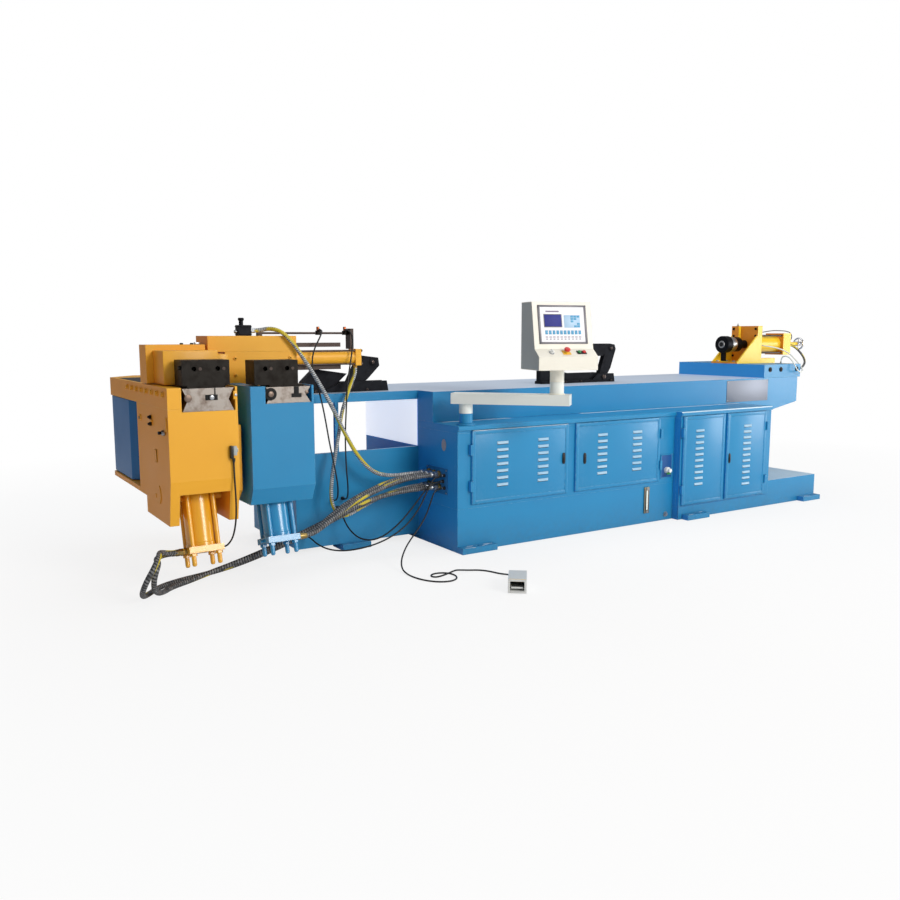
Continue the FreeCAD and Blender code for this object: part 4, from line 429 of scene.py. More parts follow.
class Facing(Enum):
    """Which way a small part faces."""

    FRONT = (0.0, -1.0, 0.0)
    BACK = (0.0, 1.0, 0.0)
    LEFT = (-1.0, 0.0, 0.0)
    RIGHT = (1.0, 0.0, 0.0)
    UP = (0.0, 0.0, 1.0)
    DOWN = (0.0, 0.0, -1.0)

    @property
    def vector(self) -> Vector:
        """The direction as a vector."""
        return Vector(self.value)

    @property
    def turn(self) -> Matrix:
        """The rotation that stands +Z up along this direction."""
        return Vector((0, 0, 1)).rotation_difference(self.vector).to_matrix().to_4x4()


class Shape:
    """Gathers the solids of one piece, each in one of its finishes."""

    def __init__(self, name: str) -> None:
        """Starts an empty piece under its own name."""
        self.name = name
        self.finishes: list[Finish] = []
        self.mesh = bmesh.new()

    def take(self, part: bmesh.types.BMesh, finish: Finish, where: Optional[Matrix] = None) -> "Shape":
        """Adds a finished part, turned outwards, in a finish and a place of its own."""
        if finish not in self.finishes:
            self.finishes.append(finish)
        bmesh.ops.recalc_face_normals(part, faces=part.faces)
        if where is not None:
            part.transform(where)
        for face in part.faces:
            face.material_index = self.finishes.index(finish)
        held = bpy.data.meshes.new("held")
        part.to_mesh(held)
        part.free()
        self.mesh.from_mesh(held)
        bpy.data.meshes.remove(held)
        return self

    def box(self, low: Point, high: Point, finish: Finish, bevel: float = 0.0,
            where: Optional[Matrix] = None) -> "Shape":
        """Adds a box between two corners, with rounded edges.

        Args:
            low: Its lowest corner.
            high: Its highest corner.
            finish: What it is made of.
            bevel: The radius of its edges.
            where: The place and turn of the corners' own frame.

        Returns:
            The piece itself.
        """
        part = bmesh.new()
        bmesh.ops.create_cube(part, size=1.0)
        for vert in part.verts:
            vert.co = Vector([a + (b - a) * (c + 0.5) for a, b, c in zip(low, high, vert.co)])
        if bevel:
            bmesh.ops.bevel(part, geom=part.edges[:], offset=bevel, segments=2, affect="EDGES", profile=0.5)
        return self.take(part, finish, where)

    def prism(self, outline: Sequence[tuple[float, float]], low: float, high: float, finish: Finish,
              bevel: float = 0.0, where: Optional[Matrix] = None) -> "Shape":
        """Adds an outline in X and Y raised from one height to another."""
        part = bmesh.new()
        floor = [part.verts.new((x, y, low)) for x, y in outline]
        roof = [part.verts.new((x, y, high)) for x, y in outline]
        part.faces.new(floor[::-1])
        part.faces.new(roof)
        for k in range(len(outline)):
            j = (k + 1) % len(outline)
            part.faces.new((floor[k], floor[j], roof[j], roof[k]))
        if bevel:
            bmesh.ops.bevel(part, geom=part.edges[:], offset=bevel, segments=2, affect="EDGES", profile=0.5)
        return self.take(part, finish, where)

    def lathe(self, start: Point, facing: Union[Facing, Vector], profile: Sequence[tuple[float, float]],
              finish: Finish, sides: int = 32, where: Optional[Matrix] = None) -> "Shape":
        """Adds a turned part.

        Args:
            start: Where its axis starts.
            facing: The way its axis runs.
            profile: Heights along the axis and the radius at each.
            finish: What it is made of.
            sides: How many faces go round.
            where: The place and turn of the start's own frame.

        Returns:
            The piece itself.
        """
        axis = facing.vector if isinstance(facing, Facing) else Vector(facing).normalized()
        turn = Vector((0, 0, 1)).rotation_difference(axis).to_matrix().to_4x4()
        part = bmesh.new()
        rings = []
        for height, radius in profile:
            rings.append([part.verts.new((
                radius * math.cos(2 * math.pi * k / sides), radius * math.sin(2 * math.pi * k / sides), height))
                for k in range(sides)])
        for below, above in zip(rings, rings[1:]):
            for k in range(sides):
                j = (k + 1) % sides
                part.faces.new((below[k], below[j], above[j], above[k]))
        part.faces.new(rings[0][::-1])
        part.faces.new(rings[-1])
        place = Matrix.Translation(Vector(start)) @ turn
        return self.take(part, finish, (where @ place) if where is not None else place)

    def knob(self, start: Point, facing: Union[Facing, Vector], radius: float, height: float, finish: Finish,
             edge: float = 0.0015, sides: int = 24, where: Optional[Matrix] = None) -> "Shape":
        """Adds a short round part with a softened rim."""
        edge = min(edge, radius / 2, height / 2)
        return self.lathe(start, facing, [
            (0.0, radius), (height - edge, radius), (height - edge * 0.3, radius - edge * 0.3),
            (height, radius - edge)], finish, sides, where)

    def made(self) -> bpy.types.Mesh:
        """The piece's mesh, smooth but for its corners, with its materials."""
        mesh = bpy.data.meshes.new(self.name)
        self.mesh.to_mesh(mesh)
        self.mesh.free()
        for finish in self.finishes:
            mesh.materials.append(finish.material())
        mesh.shade_smooth()
        mesh.set_sharp_from_angle(angle=CREASE)
        return mesh

    def keep(self, body: str = "root", slot: str = "machined_steel", *replaced: str) -> bpy.types.Object:
        """Puts the piece on its body, in place of the CAD nodes that it stands for."""
        return settle(bpy.data.objects.new(self.name, self.made()), body, slot, *replaced)


def settle(piece: bpy.types.Object, body: str = "root", slot: str = "machined_steel",
           *replaced: str) -> bpy.types.Object:
    """Links a piece and lets it ride on a body.

    Args:
        piece: The finished object.
        body: The CAD body that carries it.
        slot: The record's material slot; not used.
        replaced: CAD nodes that it stands for.

    Returns:
        The piece.
    """
    if piece.name not in bpy.context.scene.collection.objects:
        bpy.context.scene.collection.objects.link(piece)
    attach(piece, body)
    if replaced:
        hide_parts(*replaced)
    log.info("%s rides on %s: %d faces", piece.name, body, len(piece.data.polygons))
    return piece


class Repeats:
    """The Geometry Nodes trees that set one item out many times."""

    def __init__(self) -> None:
        """Builds both trees once."""
        self.on_points = self.tree("item_on_points", False)
        self.in_row = self.tree("item_in_row", True)

    @staticmethod
    def tree(name: str, row: bool) -> bpy.types.NodeTree:
        """A tree that puts an item on points, or along a row that it makes itself.

        Args:
            name: The tree's name.
            row: True if the tree lays its own points at equal steps.

        Returns:
            The tree, ending in Realize Instances and Set Material.
        """
        tree = bpy.data.node_groups.new(name, "GeometryNodeTree")
        tree.interface.new_socket(name="Geometry", in_out="INPUT", socket_type="NodeSocketGeometry")
        sockets = [("Item", "NodeSocketObject"), ("Material", "NodeSocketMaterial"), ("Facing", "NodeSocketVector"),
                   ("Twist", "NodeSocketFloat"), ("Seed", "NodeSocketInt")]
        if row:
            sockets += [("Count", "NodeSocketInt"), ("Start", "NodeSocketVector"), ("Step", "NodeSocketVector")]
        for label, kind in sockets:
            tree.interface.new_socket(name=label, in_out="INPUT", socket_type=kind)
        tree.interface.new_socket(name="Geometry", in_out="OUTPUT", socket_type="NodeSocketGeometry")
        given = add(tree, "NodeGroupInput").outputs
        points = given["Geometry"]
        if row:
            points = add(tree, "GeometryNodeMeshLine", {
                "Count": given["Count"], "Start Location": given["Start"], "Offset": given["Step"]},
                mode="OFFSET").outputs[0]
        item = add(tree, "GeometryNodeObjectInfo", {"Object": given["Item"]})
        stand = add(tree, "FunctionNodeAlignRotationToVector", {"Vector": given["Facing"]}, axis="Z")
        placed = add(tree, "GeometryNodeInstanceOnPoints", {
            "Points": points, "Instance": item.outputs["Geometry"], "Rotation": stand})
        chance = add(tree, "FunctionNodeRandomValue", {"Max": given["Twist"], "Seed": given["Seed"]})
        twist = add(tree, "ShaderNodeCombineXYZ", {"Z": chance.outputs["Value"]})
        turned = add(tree, "GeometryNodeRotateInstances", {
            "Instances": placed, "Rotation": twist})
        real = add(tree, "GeometryNodeRealizeInstances", {"Geometry": turned})
        dressed = add(tree, "GeometryNodeSetMaterial", {"Geometry": real, "Material": given["Material"]})
        add(tree, "NodeGroupOutput", {"Geometry": dressed})
        return tree

    @staticmethod
    def result(name: str, tree: bpy.types.NodeTree, points: Iterable[Point], item: bpy.types.Mesh,
               values: dict[str, object]) -> bpy.types.Object:
        """Runs a tree on points and keeps what it makes as a plain mesh.

        Args:
            name: The piece's name.
            tree: The tree to run.
            points: Where the items go, for a tree that makes no row.
            item: The mesh that is repeated, standing along +Z.
            values: The tree's inputs by name.

        Returns:
            The new object, with no modifier.
        """
        pattern = bpy.data.objects.new(name + "_item", item)
        base = bpy.data.meshes.new(name + "_points")
        base.from_pydata([tuple(p) for p in points], [], [])
        carrier = bpy.data.objects.new(name + "_carrier", base)
        for thing in (pattern, carrier):
            bpy.context.scene.collection.objects.link(thing)
        modifier = carrier.modifiers.new("repeat", "NODES")
        modifier.node_group = tree
        keys = {s.name: s.identifier for s in tree.interface.items_tree if s.in_out == "INPUT"}
        for label, value in {"Item": pattern, **values}.items():
            modifier[keys[label]] = value
        graph = bpy.context.evaluated_depsgraph_get()
        graph.update()
        mesh = bpy.data.meshes.new_from_object(carrier.evaluated_get(graph))
        mesh.name = name
        mesh.shade_smooth()
        mesh.set_sharp_from_angle(angle=CREASE)
        for thing in (pattern, carrier):
            bpy.data.objects.remove(thing)
        return bpy.data.objects.new(name, mesh)

    def scatter(self, name: str, item: "Shape", points: Iterable[Point], facing: Facing, finish: Finish,
                twist: float = 0.0, seed: int = 3) -> bpy.types.Object:
        """Puts an item on each point, facing one way, each with its own small twist."""
        return self.result(name, self.on_points, points, item.made(), {
            "Material": finish.material(), "Facing": facing.value, "Twist": twist, "Seed": seed})

    def row(self, name: str, item: "Shape", start: Point, step: Point, count: int, facing: Facing,
            finish: Finish) -> bpy.types.Object:
        """Sets an item out along a straight row at equal steps."""
        return self.result(name, self.in_row, [], item.made(), {
            "Material": finish.material(), "Facing": facing.value, "Twist": 0.0, "Seed": 1,
            "Count": count, "Start": tuple(start), "Step": tuple(step)})


REPEATS = Repeats()


def socket_bolt(radius: float, height: float) -> Shape:
    """A cap screw's head with its hexagon socket, standing on its seat."""
    bolt = Shape("cap_screw")
    bolt.lathe((0, 0, 0), Facing.UP, [
        (0.0, radius), (height * 0.8, radius), (height, radius * 0.86), (height, radius * 0.5)], ZINC, 20)
    bolt.lathe((0, 0, height * 0.5), Facing.UP, [(0.0, radius * 0.5), (height * 0.5, radius * 0.5)], ZINC, 6)
    return bolt


def hex_bolt(radius: float, height: float) -> Shape:
    """A hexagon head on a washer."""
    bolt = Shape("hex_screw")
    bolt.lathe((0, 0, 0), Facing.UP, [(0.0, radius * 1.35), (height * 0.2, radius * 1.35)], ZINC, 20)
    bolt.lathe((0, 0, height * 0.2), Facing.UP, [
        (0.0, radius), (height * 0.7, radius), (height * 0.8, radius * 0.86)], ZINC, 6)
    return bolt


def bolts(name: str, item: Shape, points: Iterable[Point], facing: Facing, finish: Finish = ZINC,
          body: str = "root", slot: str = "machined_steel") -> bpy.types.Object:
    """Sets screws at points of a face, each turned by chance as it was tightened."""
    return settle(REPEATS.scatter(name, item, points, facing, finish, twist=1.0), body, slot)


@dataclass
class Door:
    """A sheet steel door: rolled edge, shallow pressed field, louvres and a black pull."""

    number: int
    left: float
    right: float
    low: float
    high: float
    face: float
    columns: tuple[float, ...]
    louvre_low: float
    louvre_high: float
    count: int
    pull: Optional[tuple[float, float]]
    thickness: float = 0.018
    border: float = 0.026
    reveal: float = 0.003
    gap: float = 0.0003
    louvre_width: float = 0.094

    def build(self) -> None:
        """Builds the leaf, then its louvres and their slots, then the pull."""
        body = f"door_{self.number}"
        front = self.face - self.thickness - self.gap
        field = front + self.reveal
        leaf = Shape(f"door_leaf_{self.number}")
        leaf.box(at(self.left, field, self.low), at(self.right, self.face - self.gap, self.high), BLUE, 0.0025)
        left, right, low, high = (self.left + self.reveal, self.right - self.reveal, self.low + self.reveal,
                                  self.high - self.reveal)
        inner_left, inner_right = self.left + self.border, self.right - self.border
        for a, b, c, d in ((left, inner_left, low, high), (inner_right, right, low, high),
                           (inner_left, inner_right, low, self.low + self.border),
                           (inner_left, inner_right, self.high - self.border, high)):
            leaf.box(at(a, front, c), at(b, front + 2 * self.reveal, d), BLUE, 0.0025)
        leaf.keep(body, "machine_blue", f"door_{self.number}")
        self.louvres(body, field)
        if self.pull is None:
            return
        x, z = self.pull
        pull = Shape(f"door_pull_{self.number}")
        turns = [math.tau * k / 24 for k in range(24)]
        slim = [(0.012 * math.copysign(abs(math.cos(a)) ** 0.6, math.cos(a)),
                 0.040 * math.copysign(abs(math.sin(a)) ** 0.6, math.sin(a))) for a in turns]
        stand = Matrix.Translation(at(x, field, z)) @ Matrix.Rotation(math.radians(90), 4, "X")
        pull.prism(slim, 0.0, 0.007, BLACK_PLASTIC, 0.0015, stand)
        pull.box((-0.005, -0.028, 0.006), (0.005, 0.012, 0.012), BLACK_PLASTIC, 0.002, stand)
        pull.keep(body, "black_steel")

    def louvres(self, body: str, front: float) -> None:
        """Columns of pressed hoods painted pale as a highlight, each with the dark slot below it."""
        half = self.louvre_width / 2
        # In the item Z runs out of the door and Y up it, because it stands along +Z
        hood = Shape("louvre_hood")
        part = bmesh.new()
        ends = [(-half, 0.011, 0.0), (half, 0.011, 0.0), (half - 0.008, -0.006, 0.009),
                (-half + 0.008, -0.006, 0.009), (-half, -0.008, 0.0), (half, -0.008, 0.0)]
        a, b, c, d, e, f = [part.verts.new(p) for p in ends]
        for face in ((a, d, c, b), (d, e, f, c), (a, e, d), (b, c, f), (a, b, f, e)):
            part.faces.new(face)
        # The hoods' pale finish is a painted highlight
        hood.take(part, LOUVRE_HIGHLIGHT)
        slot = Shape("louvre_slot").box((-half + 0.003, -0.0115, -0.001), (half - 0.003, -0.0075, 0.0008), DARK_HOLE)
        step = (self.louvre_high - self.louvre_low) / (self.count - 1)
        places = [at(x, front, self.louvre_low + step * k) for x in self.columns for k in range(self.count)]
        for tag, item, finish, slot_name in (("hoods", hood, LOUVRE_HIGHLIGHT, "machine_blue"),
                                             ("gaps", slot, DARK_HOLE, "black_steel")):
            made = REPEATS.scatter(f"louvre_{tag}_{self.number}", item, places, Facing.FRONT, finish)
            settle(made, body, slot_name)


@dataclass
class Cabinet:
    """The two cabinets and the bed: paint, doors, gauge, valve, plates and small fastenings."""

    gauge: tuple[float, float, float, float] = (1.690, 1.754, 0.076, 0.279)
    recess: tuple[float, float, float, float] = (1.872, 1.982, 0.338, 0.510)
    plate: tuple[float, float, float, float] = (2.961, 3.507, 0.852, 1.037)
    bed_front: float = 0.307
    back: float = 1.3
    cover_lefts: tuple[float, ...] = (0.30, 1.75)
    cover_size: tuple[float, float] = (1.10, 0.28)
    cover_low: float = 0.34

    def build(self) -> None:
        """Builds every door and every fitting of the cabinets; door 3 has no pull."""
        for door in (
            Door(1, 0.104, 0.924, 0.315, 0.808, 0.0, (0.352, 0.699), 0.430, 0.714, 7, (0.882, 0.568)),
            Door(2, 0.996, 1.838, 0.315, 0.808, 0.0, (1.250, 1.598), 0.430, 0.711, 7, (1.078, 0.552)),
            Door(3, 2.032, 2.500, 0.112, 0.808, -0.06, (2.212,), 0.268, 0.689, 10, None),
            Door(4, 2.530, 3.010, 0.112, 0.808, -0.06, (2.776,), 0.219, 0.696, 11, (2.563, 0.445)),
        ):
            door.build()
        self.oil_gauge()
        self.valve()
        self.seams()
        self.plates()
        self.back_covers()

    def oil_gauge(self) -> None:
        """The tank's level gauge: a bronze frame round a pale window, held by two nuts."""
        left, right, low, high = self.gauge
        gauge = Shape("oil_gauge")
        gauge.box(at(left + 0.006, -0.009, low), at(right - 0.006, 0.0, high), BRONZE, 0.003)
        gauge.box(at(left + 0.023, -0.012, low + 0.026), at(right - 0.023, -0.006, high - 0.026), WINDOW, 0.002)
        for x in (left + 0.018, right - 0.023):
            gauge.box(at(x, -0.0125, low + 0.026), at(x + 0.005, -0.006, high - 0.026), BLACK_PLASTIC)
        for z in (low + 0.014, high - 0.014):
            gauge.lathe(at((left + right) / 2, -0.009, z), Facing.FRONT, [(0.0, 0.009), (0.006, 0.009)], ZINC, 6)
        gauge.keep()

    def valve(self) -> None:
        """The square recess with its white tap, and the tank's drain plug."""
        left, right, low, high = self.recess
        part = Shape("tank_valve")
        part.box(at(left, -0.003, low), at(right, 0.0005, high), RECESS, 0.001)
        lip = 0.008
        for a, b, c, d in ((left - lip, right + lip, low - lip, low), (left - lip, right + lip, high, high + lip),
                           (left - lip, left, low, high), (right, right + lip, low, high)):
            part.box(at(a, -0.006, c), at(b, 0.0, d), BLUE, 0.0015)
        x, z = (left + right) / 2, (low + high) / 2 - 0.03
        part.knob(at(x, 0.0, z), Facing.FRONT, 0.024, 0.028, WHITE_PLASTIC, 0.003)
        part.knob(at(x, -0.02, z), Facing.FRONT, 0.015, 0.03, WHITE_PLASTIC, 0.003)
        part.box(at(x - 0.034, -0.046, z - 0.030), at(x + 0.006, -0.036, z - 0.014), GREEN, 0.003)
        part.lathe(at(1.933, 0.0, 0.045), Facing.FRONT, [(0.0, 0.022), (0.004, 0.022), (0.005, 0.015), (0.016, 0.015)],
                   ZINC, 6)
        part.keep()

    def seams(self) -> None:
        """Raised weld lines and joints between the cabinet's sheets, pale strips of painted highlight along the ledge
        and door 1, the oval cover on its end, and a sheet in the beam's window that glows to paint the light there.
        """
        lines = Shape("cabinet_seams")
        lines.box(at(2.008, -0.0612, 0.0), at(2.0125, -0.058, 0.813), DEEP_BLUE)
        lines.box(at(2.01, -0.0612, 0.0985), at(3.087, -0.0588, 0.1015), DEEP_BLUE)
        # Painted highlights: pale strips in stretches along the ledge's nose and beside the bed, and one along door 1's
        # upper edge
        for left, right, front in ((0.05, 0.62, 0.255), (1.28, 3.07, 0.255), (2.005, 3.08, -0.073)):
            back = front + (0.040 if front > 0 else 0.012)
            lines.box(at(left, front, 0.8425), at(right, back, 0.8437), LEDGE_HIGHLIGHT, 0.0005)
        lines.box(at(2.005, -0.0747, 0.836), at(3.08, -0.0725, 0.8432), LEDGE_HIGHLIGHT, 0.0008)
        lines.box(at(0.11, -0.0195, 0.8065), at(0.918, -0.0165, 0.8095), LEDGE_HIGHLIGHT, 0.001)
        oval = [(0.026 * math.cos(a), 0.040 * math.sin(a)) for a in (math.tau * k / 28 for k in range(28))]
        stand = Matrix.Translation(at(0.0, 0.165, 0.703)) @ ON_LEFT_FACE
        lines.prism(oval, 0.0, 0.004, COVER_GREY, 0.001, stand)
        lines.keep("root", "machine_blue")
        # A sheet in the beam's window that glows to paint the light seen there
        Shape("beam_window_sheet").box(
            at(-0.006, 0.512, 0.664), at(-0.002, 1.292, 1.046), GLOWING_SHEET, 0.001).keep("root", "console_cream")
        points = [at(-0.0005, 0.165, 0.703 + s * 0.030) for s in (-1, 1)]
        bolts("end_cover_screws", socket_bolt(0.004, 0.003), points, Facing.LEFT)

    def back_covers(self) -> None:
        """Two screwed sheet covers over the openings in the cabinet's plain back."""
        width, height = self.cover_size
        low, high, inset, count = self.cover_low, self.cover_low + height, 0.03, 5
        step = (width - 2 * inset) / (count - 1)
        for number, left in enumerate(self.cover_lefts):
            inner, outer = self.back - 0.0005, self.back + 0.0025
            Shape(f"back_cover_{number}").box(
                at(left, inner, low), at(left + width, outer, high), BLUE, 0.001).keep("root", "machine_blue")
            points = [at(left + inset + step * k, outer, z) for k in range(count) for z in (low + 0.022, high - 0.022)]
            bolts(f"back_cover_screws_{number}", socket_bolt(0.007, 0.005), points, Facing.BACK)

    def plates(self) -> None:
        """A bare plate on the bed's front, its rivets, and the scuffs on the floor pads."""
        left, right, low, high = self.plate
        Shape("bare_plate").box(
            at(left, self.bed_front - 0.003, low), at(right, self.bed_front, high), BARE_PLATE, 0.001).keep()
        inset = 0.014
        points = [at(x, self.bed_front - 0.003, z) for x in (left + inset, right - inset)
                  for z in (low + inset, high - inset)]
        bolts("plate_rivets", Shape("rivet").knob((0, 0, 0), Facing.UP, 0.005, 0.003, ZINC), points, Facing.FRONT)
        scuffs = Shape("pad_scuffs")
        for k, (x, y, length) in enumerate((
            (0.03, -0.05, 0.07), (0.06, -0.02, 0.05), (0.17, -0.045, 0.08), (0.2, -0.015, 0.06),
            (2.08, -0.11, 0.05), (2.23, -0.08, 0.05), (3.52, -0.105, 0.06),
        )):
            turn = Matrix.Translation(at(x, y, 0.04)) @ Matrix.Rotation(0.25 * (k % 3 - 1), 4, "Z")
            scuffs.box((0, -0.0035, -0.001), (length, 0.0035, 0.0005), WORN_PAINT, 0.0, turn)
        scuffs.keep("root", "machine_blue")


@dataclass
class Heads:
    """The swing arm's head and the fixed pressure head, with what sits on their slides."""

    arm_side: float = -1.84
    clamp_screws: float = -1.617
    pressure_screws: float = -1.214
    screw_spread: float = 0.0655
    rod_spread: float = 0.072
    cylinder_lean: float = 16.0

    def build(self) -> None:
        """Builds slide faces, die block screws, side fittings and cylinder nuts."""
        self.slide_faces()
        self.clamp_riser()
        self.block_screws()
        self.arm_side_fittings()
        self.cylinder_nuts()
        self.sensor()

    def slide_faces(self) -> None:
        """T-slots, recesses and adjusting screws on the front ends of both slides."""
        clamp = Shape("clamp_slide_face")
        clamp.knob(at(-1.728, 0.004, 1.092), Facing.FRONT, 0.021, 0.006, OILED, 0.002)
        clamp.box(at(-1.634, 0.001, 1.078), at(-1.566, 0.005, 1.108), DARK_HOLE, 0.001)
        clamp.knob(at(-1.600, 0.003, 1.093), Facing.FRONT, 0.013, 0.010, ZINC, 0.002)
        clamp.box(at(-1.584, 0.002, 1.106), at(-1.577, 0.0045, 1.143), DARK_HOLE)
        clamp.keep("clamp_slide", "machined_steel")
        press = Shape("pressure_slide_face")
        press.knob(at(-1.262, 0.004, 1.098), Facing.FRONT, 0.036, 0.003, DARK_HOLE, 0.001)
        press.knob(at(-1.262, 0.003, 1.098), Facing.FRONT, 0.017, 0.010, OILED, 0.003)
        press.box(at(-1.137, 0.001, 1.075), at(-1.075, 0.005, 1.098), DARK_HOLE, 0.001)
        press.box(at(-1.121, 0.001, 1.096), at(-1.091, 0.005, 1.137), DARK_HOLE, 0.001)
        press.knob(at(-1.043, 0.004, 1.104), Facing.FRONT, 0.011, 0.004, OILED, 0.002)
        press.keep("pressure_slide", "machined_steel")
        gib = Shape("arm_gib_strip")
        gib.box(at(-1.481, -0.006, 1.078), at(-1.459, 0.0, 1.126), YELLOW, 0.003)
        gib.knob(at(-1.468, -0.006, 1.102), Facing.FRONT, 0.008, 0.004, ZINC)
        gib.keep("swing_arm", "machine_yellow")

    def clamp_riser(self) -> None:
        """The yellow block behind the clamp die, between it and the taller box at the slide's back."""
        riser = Shape("clamp_riser")
        riser.box(at(-1.720, 0.215, 1.1445), at(-1.516, 0.419, 1.158), YELLOW, 0.001)
        riser.box(at(-1.800, 0.205, 1.156), at(-1.492, 0.4195, 1.343), YELLOW, 0.004)
        riser.box(at(-1.494, 0.205, 1.156), at(-1.432, 0.4195, 1.322), YELLOW, 0.004)
        riser.box(at(-1.560, 0.425, 1.374), at(-1.530, 0.440, 1.388), ZINC, 0.002)
        riser.keep("clamp_slide", "machine_yellow")
        points = [at(x, 0.48, 1.375) for x in (-1.62, -1.56)]
        bolts("clamp_box_screws", socket_bolt(0.010, 0.009), points, Facing.UP, BLACKED, "clamp_slide", "black_steel")

    def block_screws(self) -> None:
        """Socket screws sunk in the die blocks' holes, bright washers and a side knob."""
        for name, body, centre, rise in (("clamp_block", "clamp_slide", self.clamp_screws, 1.248),
                                         ("pressure_block", "pressure_slide", self.pressure_screws, 1.241)):
            points = [at(centre + s * self.screw_spread, 0.070, rise) for s in (-1, 1)]
            bolts(name + "_screws", socket_bolt(0.0115, 0.014), points, Facing.FRONT, BLACKED, body, "black_steel")
            rings = Shape(name + "_marks")
            for s in (-1, 1):
                rings.lathe(at(centre + s * self.screw_spread + 0.034, 0.0302, rise), Facing.FRONT,
                            [(0.0, 0.010), (0.0012, 0.009)], RODS, 20)
            rings.keep(body, "black_steel")
        Shape("clamp_block_knob").knob(
            at(-1.748, 0.060, 1.255), Facing.LEFT, 0.011, 0.012, BLACKED, 0.002).keep("clamp_slide", "black_steel")

    def arm_side_fittings(self) -> None:
        """What shows on the arm's left side: a row of bolts, plugs, a sensor, tabs and an arched slot."""
        count, face = 8, self.arm_side
        first, last = 0.084, 0.917
        made = REPEATS.row("arm_roof_bolts", hex_bolt(0.014, 0.014), at(face, first, 1.113),
                           (0.0, (last - first) / (count - 1), 0.0), count, Facing.LEFT, YELLOW)
        settle(made, "swing_arm", "machine_yellow")
        side = Shape("arm_side_fittings")
        side.knob(at(face, 0.620, 0.947), Facing.LEFT, 0.020, 0.006, YELLOW, 0.003)
        side.knob(at(face - 0.004, 0.620, 0.947), Facing.LEFT, 0.009, 0.006, OILED, 0.002)
        for z in (0.970, 0.931):
            side.lathe(at(face, 0.361, z), Facing.LEFT, [
                (0.0, 0.011), (0.012, 0.011), (0.014, 0.007), (0.02, 0.007)], BLACKED, 6)
        side.box(at(face - 0.008, 0.330, 0.943), at(face, 0.392, 0.957), YELLOW, 0.002)
        side.box(at(face - 0.006, 0.020, 0.915), at(face, 0.052, 0.990), YELLOW, 0.003)
        side.lathe(at(face, 0.100, 0.904), Facing.LEFT, [
            (0.0, 0.014), (0.01, 0.014), (0.012, 0.009), (0.03, 0.009)], BLACKED, 16)
        side.knob(at(face - 0.004, 0.066, 0.903), Facing.LEFT, 0.011, 0.014, ZINC, 0.002)
        side.box(at(face - 0.004, 0.262, 0.722), at(face, 0.302, 0.794), YELLOW, 0.004)
        stand = Matrix.Translation(at(face, 0.27, 0.54)) @ ON_LEFT_FACE
        turns = [math.radians(a) for a in range(-60, 61, 12)]
        arch = [(radius * math.cos(a), radius * math.sin(a))
                for radius, way in ((0.062, turns), (0.045, turns[::-1])) for a in way]
        side.prism(arch, 0.0, 0.004, YELLOW, 0.001, stand)
        side.box(at(face - 0.003, 0.318, 0.512), at(face, 0.330, 0.536), YELLOW, 0.001)
        side.keep("swing_arm", "machine_yellow")
        # A thin dark sheet on the arm's roof that paints the shade of a recess there
        Shape("arm_roof_recess").box(
            at(-1.815, 0.720, 1.149), at(-1.660, 1.300, 1.1508), BLACKED, 0.0).keep("swing_arm", "machined_steel")
        Shape("arm_flange_face").box(
            at(-1.4125, 0.093, 0.56), at(-1.4105, 0.417, 0.922), ORANGE, 0.0008).keep("swing_arm", "machine_yellow")
        points = [at(-1.4105, y, z) for y in (0.13, 0.38) for z in (0.60, 0.74, 0.88)]
        bolts("arm_flange_bolts", hex_bolt(0.012, 0.010), points, Facing.RIGHT, ORANGE, "swing_arm", "machine_yellow")

    def cylinder_nuts(self) -> None:
        """Nuts on the tie rods' feet of the two hanging cylinders, and hose nuts on their ports."""
        for name, body, finish, centre, side in (
            ("clamp_cylinder", "swing_arm", YELLOW_GLOSS, -1.6485, -1),
            ("pressure_cylinder", "root", BLUE_GLOSS, -1.1915, 1),
        ):
            lean = Matrix.Rotation(-math.radians(self.cylinder_lean), 4, "X")
            stand = Matrix.Translation(at(centre, 0.215, 0.560)) @ lean
            nuts = Shape(name + "_nuts")
            for x, y in ((a * self.rod_spread, b * self.rod_spread) for a, b in CORNERS):
                nuts.lathe((x, y, -0.382), Facing.UP, [(0.0, 0.021), (0.014, 0.021), (0.016, 0.019)], finish, 6, stand)
                nuts.lathe((x, y, -0.428), Facing.DOWN,
                           [(-0.003, 0.013), (0.004, 0.0125), (0.009, 0.009), (0.011, 0.004)], finish, 16, stand)
            nuts.lathe((0, 0, -0.331), Facing.UP, [
                (0.0, 0.086), (0.020, 0.086), (0.024, 0.083), (0.312, 0.083), (0.316, 0.078)], finish, 48, stand)
            nuts.keep(body, "machine_yellow" if side < 0 else "machine_blue")
            unions = Shape(name + "_unions")
            for y, z in ((0.0883, 0.2343), (0.1499, 0.2167)):
                x = centre + side * 0.098
                unions.lathe(at(x, y, z), Facing.LEFT if side < 0 else Facing.RIGHT, [
                    (0.0, 0.021), (0.014, 0.021), (0.014, 0.0175), (0.020, 0.0175), (0.020, 0.020), (0.042, 0.020),
                    (0.044, 0.018), (0.062, 0.018), (0.066, 0.0165)], BRASS, 6 if side < 0 else 12)
            unions.keep(body, "machined_steel")

    def sensor(self) -> None:
        """The limit switch on the arm's front: a black body with a pale plug beside it."""
        part = Shape("arm_limit_switch")
        part.box(at(-1.5125, -0.028, 0.750), at(-1.4965, 0.0, 0.822), BLACK_PLASTIC, 0.003)
        part.box(at(-1.4965, -0.026, 0.768), at(-1.4755, 0.0, 0.820), GREY_CASE, 0.003)
        part.box(at(-1.4755, -0.020, 0.786), at(-1.468, -0.004, 0.806), ZINC, 0.002)
        part.lathe(at(-1.494, -0.014, 0.752), Facing.DOWN, [(0.0, 0.009), (0.010, 0.009), (0.024, 0.006)],
                   BLACK_PLASTIC, 16)
        part.keep("swing_arm", "black_steel", "arm_sensor")


